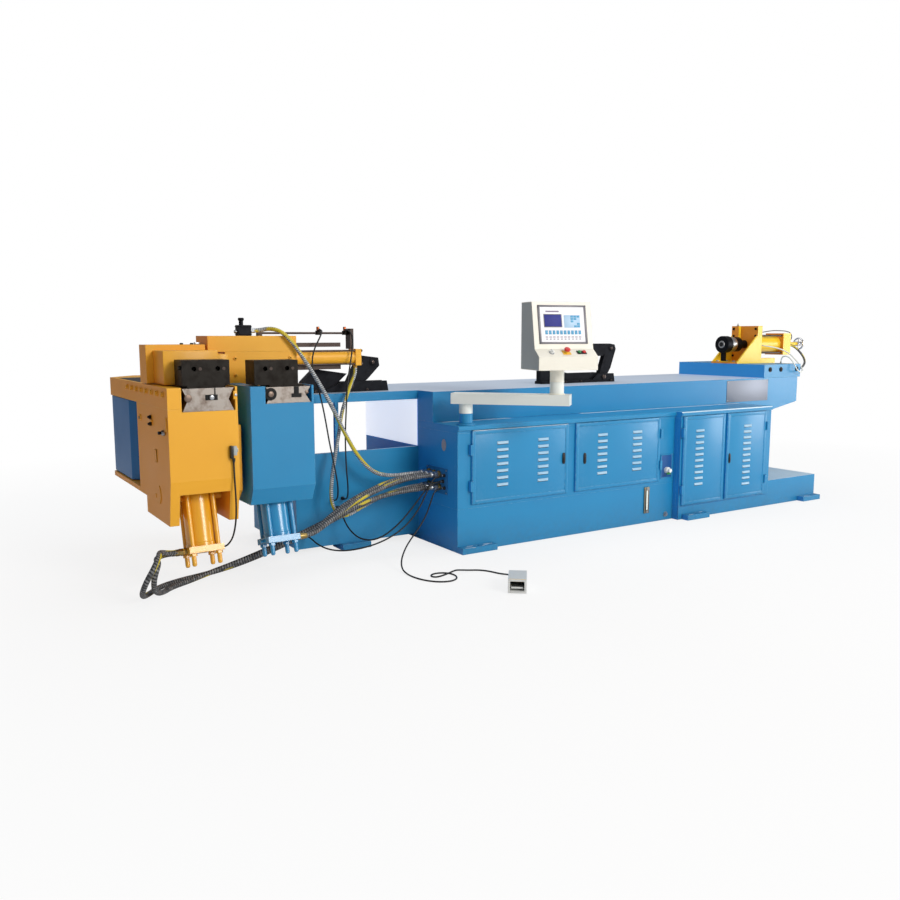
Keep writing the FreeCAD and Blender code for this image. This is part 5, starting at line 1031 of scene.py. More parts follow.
@dataclass
class Booster:
    """The beam over the fixed head: valve, cylinder bands, guide rod and its two sensors."""

    rod_height: float = 1.442

    def build(self) -> None:
        """Builds the sensors, the valve and the cylinder's bands."""
        sensors, rod = Shape("booster_sensors"), self.rod_height
        for x in (-0.700, -0.508):
            sensors.box(at(x - 0.013, 0.580, rod - 0.012), at(x + 0.013, 0.616, rod + 0.016), BLACKED, 0.002)
            sensors.knob(at(x, 0.600, rod + 0.012), Facing.UP, 0.010, 0.030, COPPER, 0.003)
            sensors.lathe(at(x, 0.582, rod + 0.020), Facing.FRONT, [
                (0.0, 0.009), (0.010, 0.009), (0.022, 0.0062)], BLACK_PLASTIC, 16)
        sensors.knob(at(-1.132, 0.600, 1.457), Facing.UP, 0.008, 0.012, COPPER, 0.002)
        sensors.keep()
        valve = Shape("top_valve_details")
        for z in (1.432, 1.478):
            valve.box(at(-1.283, 0.457, z), at(-1.197, 0.523, z + 0.005), CAST_BLACK, 0.001)
        valve.lathe(at(-1.2533, 0.490, 1.515), Facing.UP, [
            (0.0, 0.013), (0.004, 0.018), (0.016, 0.018), (0.019, 0.014)], CAST_BLACK, 12)
        valve.knob(at(-1.283, 0.49, 1.45), Facing.LEFT, 0.010, 0.014, ZINC, 0.002)
        valve.lathe(at(-1.2, 0.490, 1.4575), Facing.RIGHT, [
            (0.0, 0.018), (0.014, 0.018), (0.014, 0.015), (0.030, 0.015), (0.034, 0.0135)], ZINC, 6)
        valve.keep("root", "black_steel")
        bands = Shape("booster_bands")
        for x in (-0.927, -0.497):
            bands.lathe(at(x, 0.520, 1.285), Facing.RIGHT, [(0.0, 0.052), (0.010, 0.052), (0.012, 0.048)], YELLOW, 40)
        bands.lathe(at(-0.473, 0.520, 1.214), Facing.UP, [
            (0.0, 0.0145), (0.018, 0.0145), (0.018, 0.017), (0.022, 0.017)], BRASS, 6)
        bands.keep("root", "machine_yellow")
        points = [at(-0.452, 0.520 + a * 0.043, 1.285 + b * 0.043) for a, b in CORNERS]
        bolts("booster_nuts", hex_bolt(0.009, 0.010), points, Facing.RIGHT, RODS)
        points = [at(x, 0.4192, z) for x in (-1.32, -0.97) for z in (1.19, 1.29)]
        bolts("carriage_screws", socket_bolt(0.010, 0.008), points, Facing.FRONT, YELLOW, "root", "machine_yellow")


@dataclass
class Console:
    """The operator's console: a raked face with display, membrane keys and three controls."""

    turn: float = -15.0
    centre: tuple[float, float, float] = (0.5128, -0.3753, 1.2126)
    face_foot: tuple[float, float] = (-0.100, 0.131)
    face_rise: tuple[float, float] = (0.060, 0.292)
    shelf_foot: tuple[float, float] = (-0.170, 0.0846)
    shelf_rise: tuple[float, float] = (0.070, 0.0464)
    panel: tuple[float, float, float, float] = (-0.164, 0.164, 0.032, 0.276)
    first_key: float = -0.1135
    key_step: float = 0.0252
    key_count: int = 10
    controls_line: float = 0.043

    def place(self) -> Matrix:
        """The case's own frame: its turn about the neck, at its underside."""
        return Matrix.Translation(at(*self.centre)) @ Matrix.Rotation(math.radians(self.turn), 4, "Z")

    def plane(self, start: tuple[float, float], rise: tuple[float, float]) -> Matrix:
        """A frame on a sloping face: X across it, Y up the slope and Z out of it.

        Args:
            start: The slope's low edge, as its depth and height in the case.
            rise: How far the slope runs back and up.

        Returns:
            The matrix from the face's frame to the row frame.
        """
        up = Vector((0, rise[0], rise[1])).normalized()
        out = Vector((1, 0, 0)).cross(up)
        basis = Matrix(((1, up.x, out.x, 0), (0, up.y, out.y, start[0]), (0, up.z, out.z, start[1]), (0, 0, 0, 1)))
        return self.place() @ basis

    def build(self) -> None:
        """Builds the face, the shelf's controls, seams and the arm's caps."""
        face = self.plane(self.face_foot, self.face_rise)
        panel = Shape("console_panel")
        left, right, low, high = self.panel
        for a, b, c, d in ((left, right, low, low + 0.011), (left, right, high - 0.011, high),
                           (left, left + 0.013, low, high), (right - 0.013, right, low, high)):
            panel.box((a, c, -0.002), (b, d, 0.007), BEZEL, 0.0015, face)
        panel.box((left + 0.010, low + 0.008, -0.001), (right - 0.010, high - 0.008, 0.0025), PANEL_FILM, 0.0, face)
        panel.box((-0.128, 0.136, 0.001), (-0.004, 0.220, 0.0040), BEZEL, 0.001, face)
        panel.box((-0.123, 0.141, 0.002), (-0.009, 0.215, 0.0046), DISPLAY, 0.0005, face)
        panel.keep("console_box", "console_cream")
        panel_keys = Shape("console_keys")
        panel_keys.box((0.010, 0.134, 0.002), (0.120, 0.214, 0.0034), KEY_PALE, 0.0006, face)
        # Blue keys stand in the three right columns of the pale field, in a broken pattern
        for row in range(5):
            for column in (2, 3, 4):
                x, y = 0.0125 + column * 0.0215, 0.1365 + row * 0.0155
                if (row * 3 + column * 2) % 5 in (0, 1, 3):
                    panel_keys.box((x, y, 0.003), (x + 0.0185, y + 0.0125, 0.0046), KEY_BLUE, 0.0008, face)
        panel_keys.box((-0.112, 0.232, 0.002), (-0.022, 0.241, 0.0032), KEY_CAPTION, 0.0, face)
        panel_keys.keep("console_box", "console_cream")
        soft = Shape("soft_key").box((-0.0088, -0.0125, 0), (0.0088, 0.0125, 0.0018), KEY_BLUE, 0.0012)
        self.key_row("console_soft_keys", soft, face, 0.104, KEY_BLUE)
        for index, (y, wide) in enumerate(((0.075, 0.0085), (0.062, 0.0060))):
            mark = Shape("key_mark").box((-wide, -0.0028, 0), (wide, 0.0028, 0.0006), KEY_CAPTION)
            self.key_row(f"console_key_marks_{index}", mark, face, y, KEY_CAPTION)
        self.controls()
        self.case_details()

    def key_row(self, name: str, item: Shape, face: Matrix, up: float, finish: Finish) -> None:
        """A row of equal parts across the face, laid flat by Geometry Nodes and then raised to its slope.

        Args:
            name: The piece's name.
            item: One key or mark.
            face: The sloping face's own frame.
            up: How far up the face the row runs.
            finish: What the parts are made of.
        """
        made = REPEATS.row(name, item, (self.first_key, up, 0.0025), (self.key_step, 0.0, 0.0), self.key_count,
                           Facing.UP, finish)
        made.data.transform(face)
        settle(made, "console_box", "console_cream")

    def controls(self) -> None:
        """The selector, the emergency stop and the two lamps on the sloping shelf."""
        shelf = self.plane(self.shelf_foot, self.shelf_rise)
        part = Shape("console_controls")
        middle = self.controls_line
        part.knob((-0.100, middle, 0.0), Facing.UP, 0.017, 0.004, ZINC, 0.001, 28, shelf)
        part.knob((-0.100, middle, 0.003), Facing.UP, 0.013, 0.012, WHITE_PLASTIC, 0.002, 24, shelf)
        part.box((-0.104, middle - 0.014, 0.013), (-0.096, middle + 0.014, 0.022), WHITE_PLASTIC, 0.002, shelf)
        part.box((-0.028, middle - 0.022, 0.0), (0.026, middle + 0.022, 0.003), SIGNAL_YELLOW, 0.001, shelf)
        part.knob((-0.001, middle, 0.002), Facing.UP, 0.012, 0.016, SIGNAL_YELLOW, 0.001, 24, shelf)
        part.lathe((-0.001, middle, 0.016), Facing.UP, [(0.0, 0.013), (0.002, 0.0185), (0.010, 0.0195), (0.015, 0.017),
                                                       (0.018, 0.010)], RED, 28, shelf)
        part.box((0.070, middle - 0.017, 0.0), (0.134, middle + 0.017, 0.005), BLACK_PLASTIC, 0.002, shelf)
        for x, tone in ((0.086, GREEN), (0.118, RED)):
            part.lathe((x, middle, 0.004), Facing.UP, [(0.0, 0.012), (0.006, 0.012), (0.009, 0.009), (0.010, 0.004)],
                       tone, 24, shelf)
        part.keep("console_box", "console_cream")

    def case_details(self) -> None:
        """Seams round the case, its side sheets in grey, screws, and the swivel's joint lines."""
        case = self.place()
        sides = Shape("console_side_sheets")
        outline = [(-0.165, 0.004), (0.114, 0.004), (0.114, 0.419), (-0.037, 0.419), (-0.095, 0.133), (-0.165, 0.087)]
        # The outline's X runs back along the case and its Y up, and it is raised to the right
        for start in (-0.2008, 0.1992):
            stand = case @ Matrix(((0, 0, 1, start), (1, 0, 0, 0), (0, 1, 0, 0), (0, 0, 0, 1)))
            sides.prism(outline, 0.0, 0.0016, GREY_CASE, 0.0, stand)
        sides.box((-0.198, 0.1198, 0.004), (0.198, 0.1214, 0.419), GREY_CASE, 0.0, case)
        sides.keep("console_box", "console_cream")
        points = [(sx * 0.186, 0.121, z) for sx in (-1, 1) for z in (0.02, 0.2115, 0.403)]
        screws = REPEATS.scatter("console_back_screws", socket_bolt(0.005, 0.003), points, Facing.BACK, ZINC, 1.0)
        screws.data.transform(case)
        settle(screws, "console_box", "machined_steel")
        joint = Shape("console_joint_rings")
        x, y, _ = self.centre
        joint.lathe(at(x, y, 1.0533), Facing.UP, [(0.0, 0.052), (0.004, 0.052), (0.008, 0.045)], CREAM, 40)
        joint.keep("console_arm", "console_cream")
        ring = Shape("console_neck_ring")
        ring.lathe(at(x, y, 1.1336), Facing.UP, [(0.0006, 0.0462), (0.006, 0.0462), (0.008, 0.045)], CREAM, 40)
        ring.lathe(at(x, y, 1.2066), Facing.UP, [(0.0, 0.045), (0.001, 0.055), (0.006, 0.055)], CREAM, 40)
        ring.keep("console_box", "console_cream")
        post = Shape("console_post_rings")
        post.lathe(at(0.105, 0.062, 0.843), Facing.UP, [
            (0.0, 0.062), (0.008, 0.062), (0.012, 0.052), (0.014, 0.0455)], BLUE, 40)
        post.keep("root", "machine_blue")


@dataclass
class Supports:
    """The folding tube supports: pin heads and cover screws of their black castings."""

    front: float = 0.610

    def build(self) -> None:
        """Builds the pins' heads and the cheeks' screws."""
        pins = Shape("support_pin_heads")
        for x in (-0.460, 1.824):
            pins.knob(at(x, self.front, 1.090), Facing.FRONT, 0.019, 0.006, RODS, 0.002)
            pins.knob(at(x, self.front + 0.090, 1.090), Facing.BACK, 0.019, 0.006, RODS, 0.002)
        pins.keep("root", "black_steel")
        for name, xs in (("support_a_screws", (-0.72, -0.34)), ("support_b_screws", (1.26, 1.42, 1.58, 1.90))):
            bolts(name, socket_bolt(0.009, 0.007), [at(x, self.front, 1.062) for x in xs], Facing.FRONT, RODS, "root",
                  "black_steel")
        for name, body, x, z in (("support_a_roller", "support_a_lever", -0.283, 1.245),
                                 ("support_b_roller", "support_b_lever", 1.914, 1.322)):
            roller = Shape(name + "_pin")
            roller.knob(at(x, self.front + 0.023, z), Facing.FRONT, 0.024, 0.004, CAST_BLACK, 0.002)
            roller.knob(at(x, self.front + 0.020, z), Facing.FRONT, 0.012, 0.006, RODS, 0.002)
            roller.keep(body, "black_steel")


@dataclass
class MandrelUnit:
    """The rear unit: chuck jaws, cylinder screws, upright's fastenings, handwheel and stop stud."""

    axis_y: float = 0.755
    axis_z: float = 1.342
    tie_spread: float = 0.080
    grip_radius: float = 0.0535
    grip_thickness: float = 0.0078

    def build(self) -> None:
        """Builds the screws, the chuck's rings, the wheel's grip and the stud."""
        y, z = self.axis_y, self.axis_z
        points = [at(3.723, y + a, b) for a in (-0.125, 0.125) for b in (1.235, 1.42, 1.485)]
        bolts("upright_screws", socket_bolt(0.011, 0.009), points, Facing.LEFT, BLACKED, "root", "black_steel")
        spread = self.tie_spread
        points = [at(4.275, y + a * spread, z + b * spread) for a, b in CORNERS]
        bolts("end_cap_nuts", hex_bolt(0.013, 0.014), points, Facing.RIGHT)
        points = [at(x, y + s * 0.125, 1.183) for x in (3.47, 3.60) for s in (-0.75, 0.75)]
        bolts("bracket_bolts", hex_bolt(0.013, 0.012), points, Facing.UP)
        ties = Shape("mandrel_tie_rods")
        for a, b in CORNERS:
            ties.lathe(at(3.825, y + a * spread, z + b * spread), Facing.RIGHT, [(0.0, 0.0085), (0.340, 0.0085)],
                       RODS, 16)
        ties.keep()
        chuck = Shape("chuck_rings")
        chuck.lathe(at(3.4105, y, z), Facing.LEFT, [(0.0, 0.060), (0.002, 0.059)], CAST_BLACK, 40)
        chuck.lathe(at(3.4085, y, z), Facing.LEFT, [(0.0, 0.034), (0.006, 0.032)], TURNED, 32)
        chuck.lathe(at(3.400, y, z), Facing.RIGHT, [(-0.0018, 0.0202), (0.0, 0.0202)], DARK_HOLE, 32)
        chuck.lathe(at(3.480, y, z), Facing.RIGHT, [(0.0, 0.0688), (0.002, 0.0695), (0.068, 0.0695), (0.070, 0.0688)],
                    TURNED, 48)
        chuck.keep("mandrel_rod", "black_steel")
        stud = Shape("stop_bar_stud")
        stud.knob(at(3.707, 0.819, 1.512), Facing.UP, 0.008, 0.022, ZINC, 0.002)
        stud.lathe(at(3.707, 0.819, 1.512), Facing.UP, [(0.0, 0.013), (0.008, 0.013)], ZINC, 6)
        stud.keep()
        rim = Shape("wheel_grip")
        part = bmesh.new()
        rounds, sides, thick = 48, 12, self.grip_thickness
        ring = []
        for a in (math.tau * k / rounds for k in range(rounds)):
            section = [(thick * math.sin(b), self.grip_radius + thick * math.cos(b))
                       for b in (math.tau * j / sides for j in range(sides))]
            ring.append([part.verts.new((x, r * math.cos(a), r * math.sin(a))) for x, r in section])
        for k, section in enumerate(ring):
            following = ring[(k + 1) % rounds]
            for j in range(sides):
                i = (j + 1) % sides
                part.faces.new((section[j], following[j], following[i], section[i]))
        rim.take(part, CHROME, Matrix.Translation(at(4.541, y, z)))
        rim.knob(at(4.570, y, z), Facing.RIGHT, 0.016, 0.006, CHROME, 0.003)
        rim.keep("handwheel", "chrome_plate")
        ports = Shape("block_front_ports")
        for x in (3.530, 3.680, 3.905):
            ports.knob(at(x, 0.307, 1.122), Facing.FRONT, 0.022, 0.004, BLACKED, 0.001)
            ports.knob(at(x, 0.3045, 1.122), Facing.FRONT, 0.013, 0.004, DARK_HOLE, 0.001)
        ports.keep("root", "black_steel")
        Shape("barrel_sensor_cap").box(at(3.918, 0.743, 1.466), at(3.942, 0.767, 1.474), COPPER, 0.002).keep()


@dataclass
class Fittings:
    """Nuts and crimped sleeves where hoses and cables leave the cabinet."""

    ports: tuple[tuple[float, float], ...] = (
        (0.215, 0.500), (0.280, 0.500), (0.345, 0.500), (0.215, 0.415), (0.280, 0.415), (0.345, 0.415))
    glands: tuple[tuple[float, float], ...] = ((0.150, 0.415), (0.165, 0.458), (0.150, 0.500))
    skirt: tuple[tuple[float, float], ...] = ((-0.670, 0.350), (-0.590, 0.350), (-0.630, 0.290), (-0.860, 0.130))

    def build(self) -> None:
        """Builds the nuts as one repeated item, the backing plates and the pedal's details."""
        nut = Shape("hose_nut").lathe((0, 0, 0), Facing.UP, [
            (0.0, 0.026), (0.018, 0.026), (0.022, 0.021), (0.024, 0.0185), (0.034, 0.0185)], BRASS, 6)
        crimp = Shape("hose_crimp").lathe((0, 0, 0), Facing.UP, [
            (0.030, 0.0205), (0.034, 0.0215), (0.046, 0.0215), (0.048, 0.0185), (0.056, 0.0185), (0.058, 0.0195),
            (0.076, 0.0185), (0.080, 0.0165)], ZINC, 16)
        for name, item, finish in (("port_nuts", nut, BRASS), ("port_crimps", crimp, ZINC)):
            made = REPEATS.scatter(name, item, [at(0.0, y, z) for y, z in self.ports], Facing.LEFT, finish, 1.0)
            settle(made)
        gland = Shape("cable_gland").lathe((0, 0, 0), Facing.UP, [
            (0.0, 0.013), (0.010, 0.013), (0.012, 0.010), (0.024, 0.010), (0.034, 0.0062)], BLACK_PLASTIC, 8)
        skirt_gland = Shape("skirt_gland").lathe((0, 0, 0), Facing.UP, [
            (0.0, 0.013), (0.008, 0.013), (0.010, 0.0102), (0.022, 0.0102), (0.030, 0.0062)], BLACK_PLASTIC, 8)
        for name, item, points, facing in (
            ("end_glands", gland, [at(0.0, y, z) for y, z in self.glands], Facing.LEFT),
            ("skirt_glands", skirt_gland, [at(x, 0.503, z) for x, z in self.skirt], Facing.FRONT),
        ):
            settle(REPEATS.scatter(name, item, points, facing, BLACK_PLASTIC, 1.0), "root", "black_steel")
        Shape("port_plate").box(
            at(-0.005, 0.120, 0.370), at(0.0, 0.385, 0.545), DEEP_BLUE, 0.0015).keep("root", "machine_blue")
        points = [at(-0.005, y, z) for y in (0.131, 0.374) for z in (0.381, 0.534)]
        bolts("port_plate_screws", socket_bolt(0.006, 0.004), points, Facing.LEFT)
        self.pedal()

    @staticmethod
    def pedal() -> None:
        """The foot switch's ribbed treadle, feet and cover screws."""
        stand = Matrix.Translation(at(-0.148, -0.852, 0.0)) @ Matrix.Rotation(math.radians(-38), 4, "Z")
        part = Shape("pedal_details")
        for y in (-0.080 + k * 0.016 for k in range(7)):
            part.box((-0.032, y, 0.0336), (0.032, y + 0.006, 0.0366), BLACK_PLASTIC, 0.001, stand)
        part.box((-0.050, -0.093, 0.0665), (0.050, -0.086, 0.0805), SIGNAL_YELLOW, 0.002, stand)
        part.lathe((-0.035, 0.095, 0.030), Facing.BACK, [
            (0.0, 0.012), (0.008, 0.012), (0.010, 0.0095), (0.020, 0.0062)], BLACK_PLASTIC, 8, stand)
        part.keep("root", "pedal_grey")


class FarEnd(Enum):
    """What a cord's far end joins."""

    OBJECT = "object"
    TOOL = "tool"


@dataclass(frozen=True)
class Cord:
    """A hose or cable along its own smooth line, from its exit to its far end.

    Its points are millimetres from the cabinet's corner, as in the CAD source.
    """

    name: str
    diameter: float
    length: float
    finish: Finish
    points: tuple[tuple[float, float, float], ...]
    body: str = "root"
    far_end: FarEnd = FarEnd.OBJECT
    to_arm: bool = False
    sides: int = 10
    # A round tube's facets stay smooth up to this, and its end caps are crisp
    CREASE: ClassVar[float] = math.radians(60)
    # Two places on a cord's way from the cabinet to the arm
    BEND: ClassVar[tuple[Point, Point]] = ((-0.25, 0.2, 0.35), (-1.80, 0.2, 0.35))

    def places(self) -> list[Vector]:
        """The points in the frame, in metres."""
        return [at(*(c / 1000 for c in point)) for point in self.points]

    def line(self) -> list[Vector]:
        """The points of the cord's smooth line, read from its spline."""
        curve = bpy.data.curves.new(self.name + "_line", "CURVE")
        curve.dimensions = "3D"
        spline = curve.splines.new("NURBS")
        spline.points.add(len(self.points) - 1)
        for control, place in zip(spline.points, self.places()):
            control.co = (*place, 1.0)
        spline.use_endpoint_u = True
        spline.order_u = 3
        spline.resolution_u = 8
        holder = bpy.data.objects.new(self.name + "_line", curve)
        bpy.context.scene.collection.objects.link(holder)
        graph = bpy.context.evaluated_depsgraph_get()
        mesh = bpy.data.meshes.new_from_object(holder.evaluated_get(graph))
        points = [v.co.copy() for v in mesh.vertices]
        bpy.data.objects.remove(holder)
        bpy.data.meshes.remove(mesh)
        return points

    def tube(self, line: Sequence[Vector]) -> bpy.types.Mesh:
        """A tube along the line, with a UV map of metres along and turns around."""
        part = bmesh.new()
        chart = part.loops.layers.uv.new("along")
        radius = self.diameter / 2
        normal = None
        rings, runs, run = [], [], 0.0
        for k, point in enumerate(line):
            ahead = (line[min(k + 1, len(line) - 1)] - line[max(k - 1, 0)]).normalized()
            if normal is None:
                normal = ahead.cross(Vector((0, 0, 1)) if abs(ahead.z) < 0.9 else Vector((1, 0, 0)))
            normal = (normal - ahead * normal.dot(ahead)).normalized()
            side = ahead.cross(normal)
            if k:
                run += (point - line[k - 1]).length
            runs.append(run)
            rings.append([part.verts.new(point + radius * (
                normal * math.cos(math.tau * j / self.sides) + side * math.sin(math.tau * j / self.sides)))
                for j in range(self.sides)])
        for k in range(len(rings) - 1):
            for j in range(self.sides):
                i = (j + 1) % self.sides
                face = part.faces.new((rings[k][j], rings[k][i], rings[k + 1][i], rings[k + 1][j]))
                for loop, (along, around) in zip(face.loops, (
                    (runs[k], j), (runs[k], j + 1), (runs[k + 1], j + 1), (runs[k + 1], j),
                )):
                    loop[chart].uv = (along, around / self.sides)
        part.faces.new(rings[0][::-1])
        part.faces.new(rings[-1])
        bmesh.ops.recalc_face_normals(part, faces=part.faces)
        mesh = bpy.data.meshes.new(self.name)
        part.to_mesh(mesh)
        part.free()
        mesh.materials.append(self.finish.material())
        mesh.shade_smooth()
        mesh.set_sharp_from_angle(angle=self.CREASE)
        return mesh

    def build(self) -> bpy.types.Object:
        line = self.line()
        piece = bpy.data.objects.new(self.name + "_sheath", self.tube(line))
        bpy.context.scene.collection.objects.link(piece)
        if self.to_arm:
            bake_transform(piece)
        else:
            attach(piece, self.body)
        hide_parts(self.name)
        log.info("%s: %.3f m along its line", self.name, sum((b - a).length for a, b in zip(line, line[1:])))
        return piece


CORDS = (
    Cord("clamp_return_hose", 0.03, 2.771, WRAP, (
        (-60, 280, 415), (-180, 280, 415), (-360, 278, 394), (-560, 277, 342), (-760, 283, 262), (-980, 291, 178),
        (-1200, 300, 106), (-1400, 315, 50), (-1580, 330, 19), (-1740, 290, 17), (-1880, 212, 17), (-1950, 116, 17),
        (-2008, 20, 32), (-2028, -66, 84), (-2014, -120, 156), (-1968, -110, 224), (-1930, -50, 262),
        (-1910, 22, 264), (-1870, 66, 248), (-1822, 88.3, 234.3), (-1770.8, 88.3, 234.3),
    ), to_arm=True, sides=16),
    Cord("clamp_hose", 0.03, 2.57, WRAP, (
        (-60, 215, 415), (-180, 215, 415), (-360, 224, 406), (-560, 236, 366), (-760, 243, 296), (-980, 248, 214),
        (-1200, 254, 142), (-1400, 266, 82), (-1560, 280, 40), (-1700, 240, 18), (-1812, 178, 17), (-1878, 100, 18),
        (-1930, 28, 38), (-1958, -26, 84), (-1963, -58, 140), (-1948, -58, 190), (-1925, -18, 218), (-1926, 38, 222),
        (-1902, 92, 220), (-1868, 133, 217.5), (-1818, 149.9, 216.7), (-1770.8, 149.9, 216.7),
    ), to_arm=True, sides=16),
    Cord("pressure_return_hose", 0.03, 1.075, WRAP, (
        (-60, 280, 500), (-190, 280, 500), (-360, 273, 474), (-520, 262, 428), (-680, 242, 372), (-820, 204, 304),
        (-930, 166, 244), (-1005, 149.9, 216.7), (-1069.5, 149.9, 216.7),
    ), sides=16),
    Cord("pressure_hose", 0.03, 1.068, WRAP, (
        (-60, 215, 500), (-190, 215, 500), (-360, 209, 474), (-520, 198, 430), (-680, 176, 380), (-820, 134, 314),
        (-930, 102, 260), (-1005, 88.3, 234.3), (-1069.5, 88.3, 234.3),
    ), sides=16),
    Cord("valve_hose", 0.026, 1.668, PALE_WRAP, (
        (-60, 345, 500), (-160, 345, 500), (-300, 347, 496), (-430, 352, 524), (-540, 360, 640), (-625, 365, 790),
        (-700, 370, 950), (-780, 376, 1100), (-860, 382, 1230), (-935, 386, 1345), (-1006, 390, 1430),
        (-1052, 412, 1462), (-1094, 456, 1470), (-1140, 490, 1457.5), (-1184, 490, 1457.5),
    ), sides=16),
    Cord("booster_hose", 0.024, 1.715, PALE_WRAP, (
        (-60, 345, 415), (-150, 345, 415), (-300, 340, 392), (-440, 336, 348), (-560, 334, 298), (-640, 336, 264),
        (-698, 342, 278), (-733, 352, 338), (-738, 362, 416), (-722, 376, 510), (-692, 394, 640), (-650, 412, 800),
        (-625, 424, 920), (-585, 446, 1005), (-545, 474, 1075), (-504, 504, 1130), (-473, 520, 1174),
        (-473, 520, 1214),
    ), sides=16),
    Cord("sensor_cable", 0.01, 1.321, CABLE, (
        (-700, 580, 1462), (-700, 545, 1462), (-716, 500, 1450), (-752, 458, 1410), (-796, 438, 1350),
        (-822, 430, 1270), (-812, 420, 1180), (-786, 408, 1080), (-765, 396, 970), (-750, 384, 860), (-738, 370, 750),
        (-722, 354, 640), (-704, 346, 530), (-690, 352, 450), (-678, 386, 388), (-670, 434, 350), (-670, 479, 350),
    )),
    Cord("end_sensor_cable", 0.01, 1.258, CABLE, (
        (-508, 580, 1462), (-508, 545, 1462), (-508, 505, 1448), (-512, 470, 1405), (-528, 448, 1340),
        (-548, 432, 1260), (-572, 415, 1180), (-592, 400, 1090), (-602, 392, 990), (-608, 394, 890), (-612, 398, 780),
        (-614, 392, 670), (-614, 384, 560), (-606, 384, 470), (-596, 402, 396), (-590, 438, 350), (-590, 479, 350),
    )),
    Cord("skirt_cable", 0.01, 0.989, CABLE, (
        (-30, 165, 458), (-76, 165, 458), (-140, 167, 418), (-205, 168, 346), (-280, 166, 270), (-365, 168, 195),
        (-450, 184, 136), (-525, 220, 108), (-580, 280, 118), (-612, 345, 160), (-628, 404, 222), (-630, 440, 290),
        (-630, 479, 290),
    )),
    Cord("column_cable", 0.01, 1.198, CABLE, (
        (-30, 150, 500), (-72, 150, 500), (-118, 147, 458), (-160, 138, 385), (-215, 128, 305), (-290, 122, 225),
        (-385, 122, 160), (-495, 136, 112), (-610, 165, 82), (-720, 210, 68), (-800, 275, 74), (-845, 350, 100),
        (-860, 420, 130), (-860, 479, 130),
    )),
    Cord("pedal_cable", 0.01, 2.222, CABLE, (
        (-30, 150, 415), (-60, 150, 415), (-98, 142, 390), (-135, 118, 336), (-190, 78, 270), (-265, 32, 210),
        (-350, -14, 160), (-430, -60, 106), (-492, -116, 50), (-528, -190, 14), (-540, -280, 5), (-538, -370, 5),
        (-512, -456, 5), (-460, -520, 5), (-392, -542, 5), (-334, -512, 5), (-306, -450, 5), (-314, -388, 5),
        (-362, -350, 5), (-416, -354, 5), (-446, -392, 5), (-430, -438, 9), (-380, -450, 20), (-318, -436, 28),
        (-285, -424, 28), (-230, -408, 16), (-175, -404, 6), (-120, -430, 5), (-84, -486, 5), (-66, -556, 5),
        (-50, -624, 12), (-69.1, -694.1, 30), (-106, -741.4, 30),
    ), far_end=FarEnd.TOOL),
    Cord("arm_cable", 0.01, 0.586, CABLE, (
        (-1494, -14, 750), (-1494, -14, 690), (-1492, -16, 600), (-1488, -14, 510), (-1484, 4, 420), (-1482, 40, 340),
        (-1484, 80, 280), (-1494, 108, 246), (-1512, 119.1, 225.5), (-1534.5, 119.1, 225.5),
    ), body="swing_arm"),
    Cord("mandrel_hose", 0.02, 0.709, WRAP, (
        (4299, 700, 1333), (4340, 700, 1333), (4388, 678, 1308), (4414, 640, 1262), (4400, 590, 1216),
        (4340, 530, 1176), (4250, 475, 1146), (4160, 436, 1124), (4068, 420, 1110), (3984, 420, 1110),
    )),
    Cord("mandrel_line", 0.012, 0.929, PALE_TUBE, (
        (3805, 632, 1330), (3805, 604, 1330), (3828, 572, 1325), (3880, 552, 1316), (3940, 536, 1304),
        (3995, 500, 1280), (4022, 446, 1236), (4018, 388, 1186), (4000, 326, 1140), (3956, 276, 1104),
        (3900, 258, 1090), (3852, 262, 1114), (3830, 278, 1164), (3830, 314, 1212), (3830, 358, 1238),
        (3830, 402, 1236), (3830, 420, 1208), (3830, 420, 1185),
    )),
    Cord("mandrel_cable", 0.008, 0.494, CABLE, (
        (3950, 755, 1455), (3995, 755, 1455), (4065, 748, 1466), (4140, 736, 1471), (4215, 718, 1469),
        (4272, 702, 1465), (4322, 692, 1449), (4344, 690, 1412), (4327, 690, 1374), (4291, 690, 1374),
    )),
)


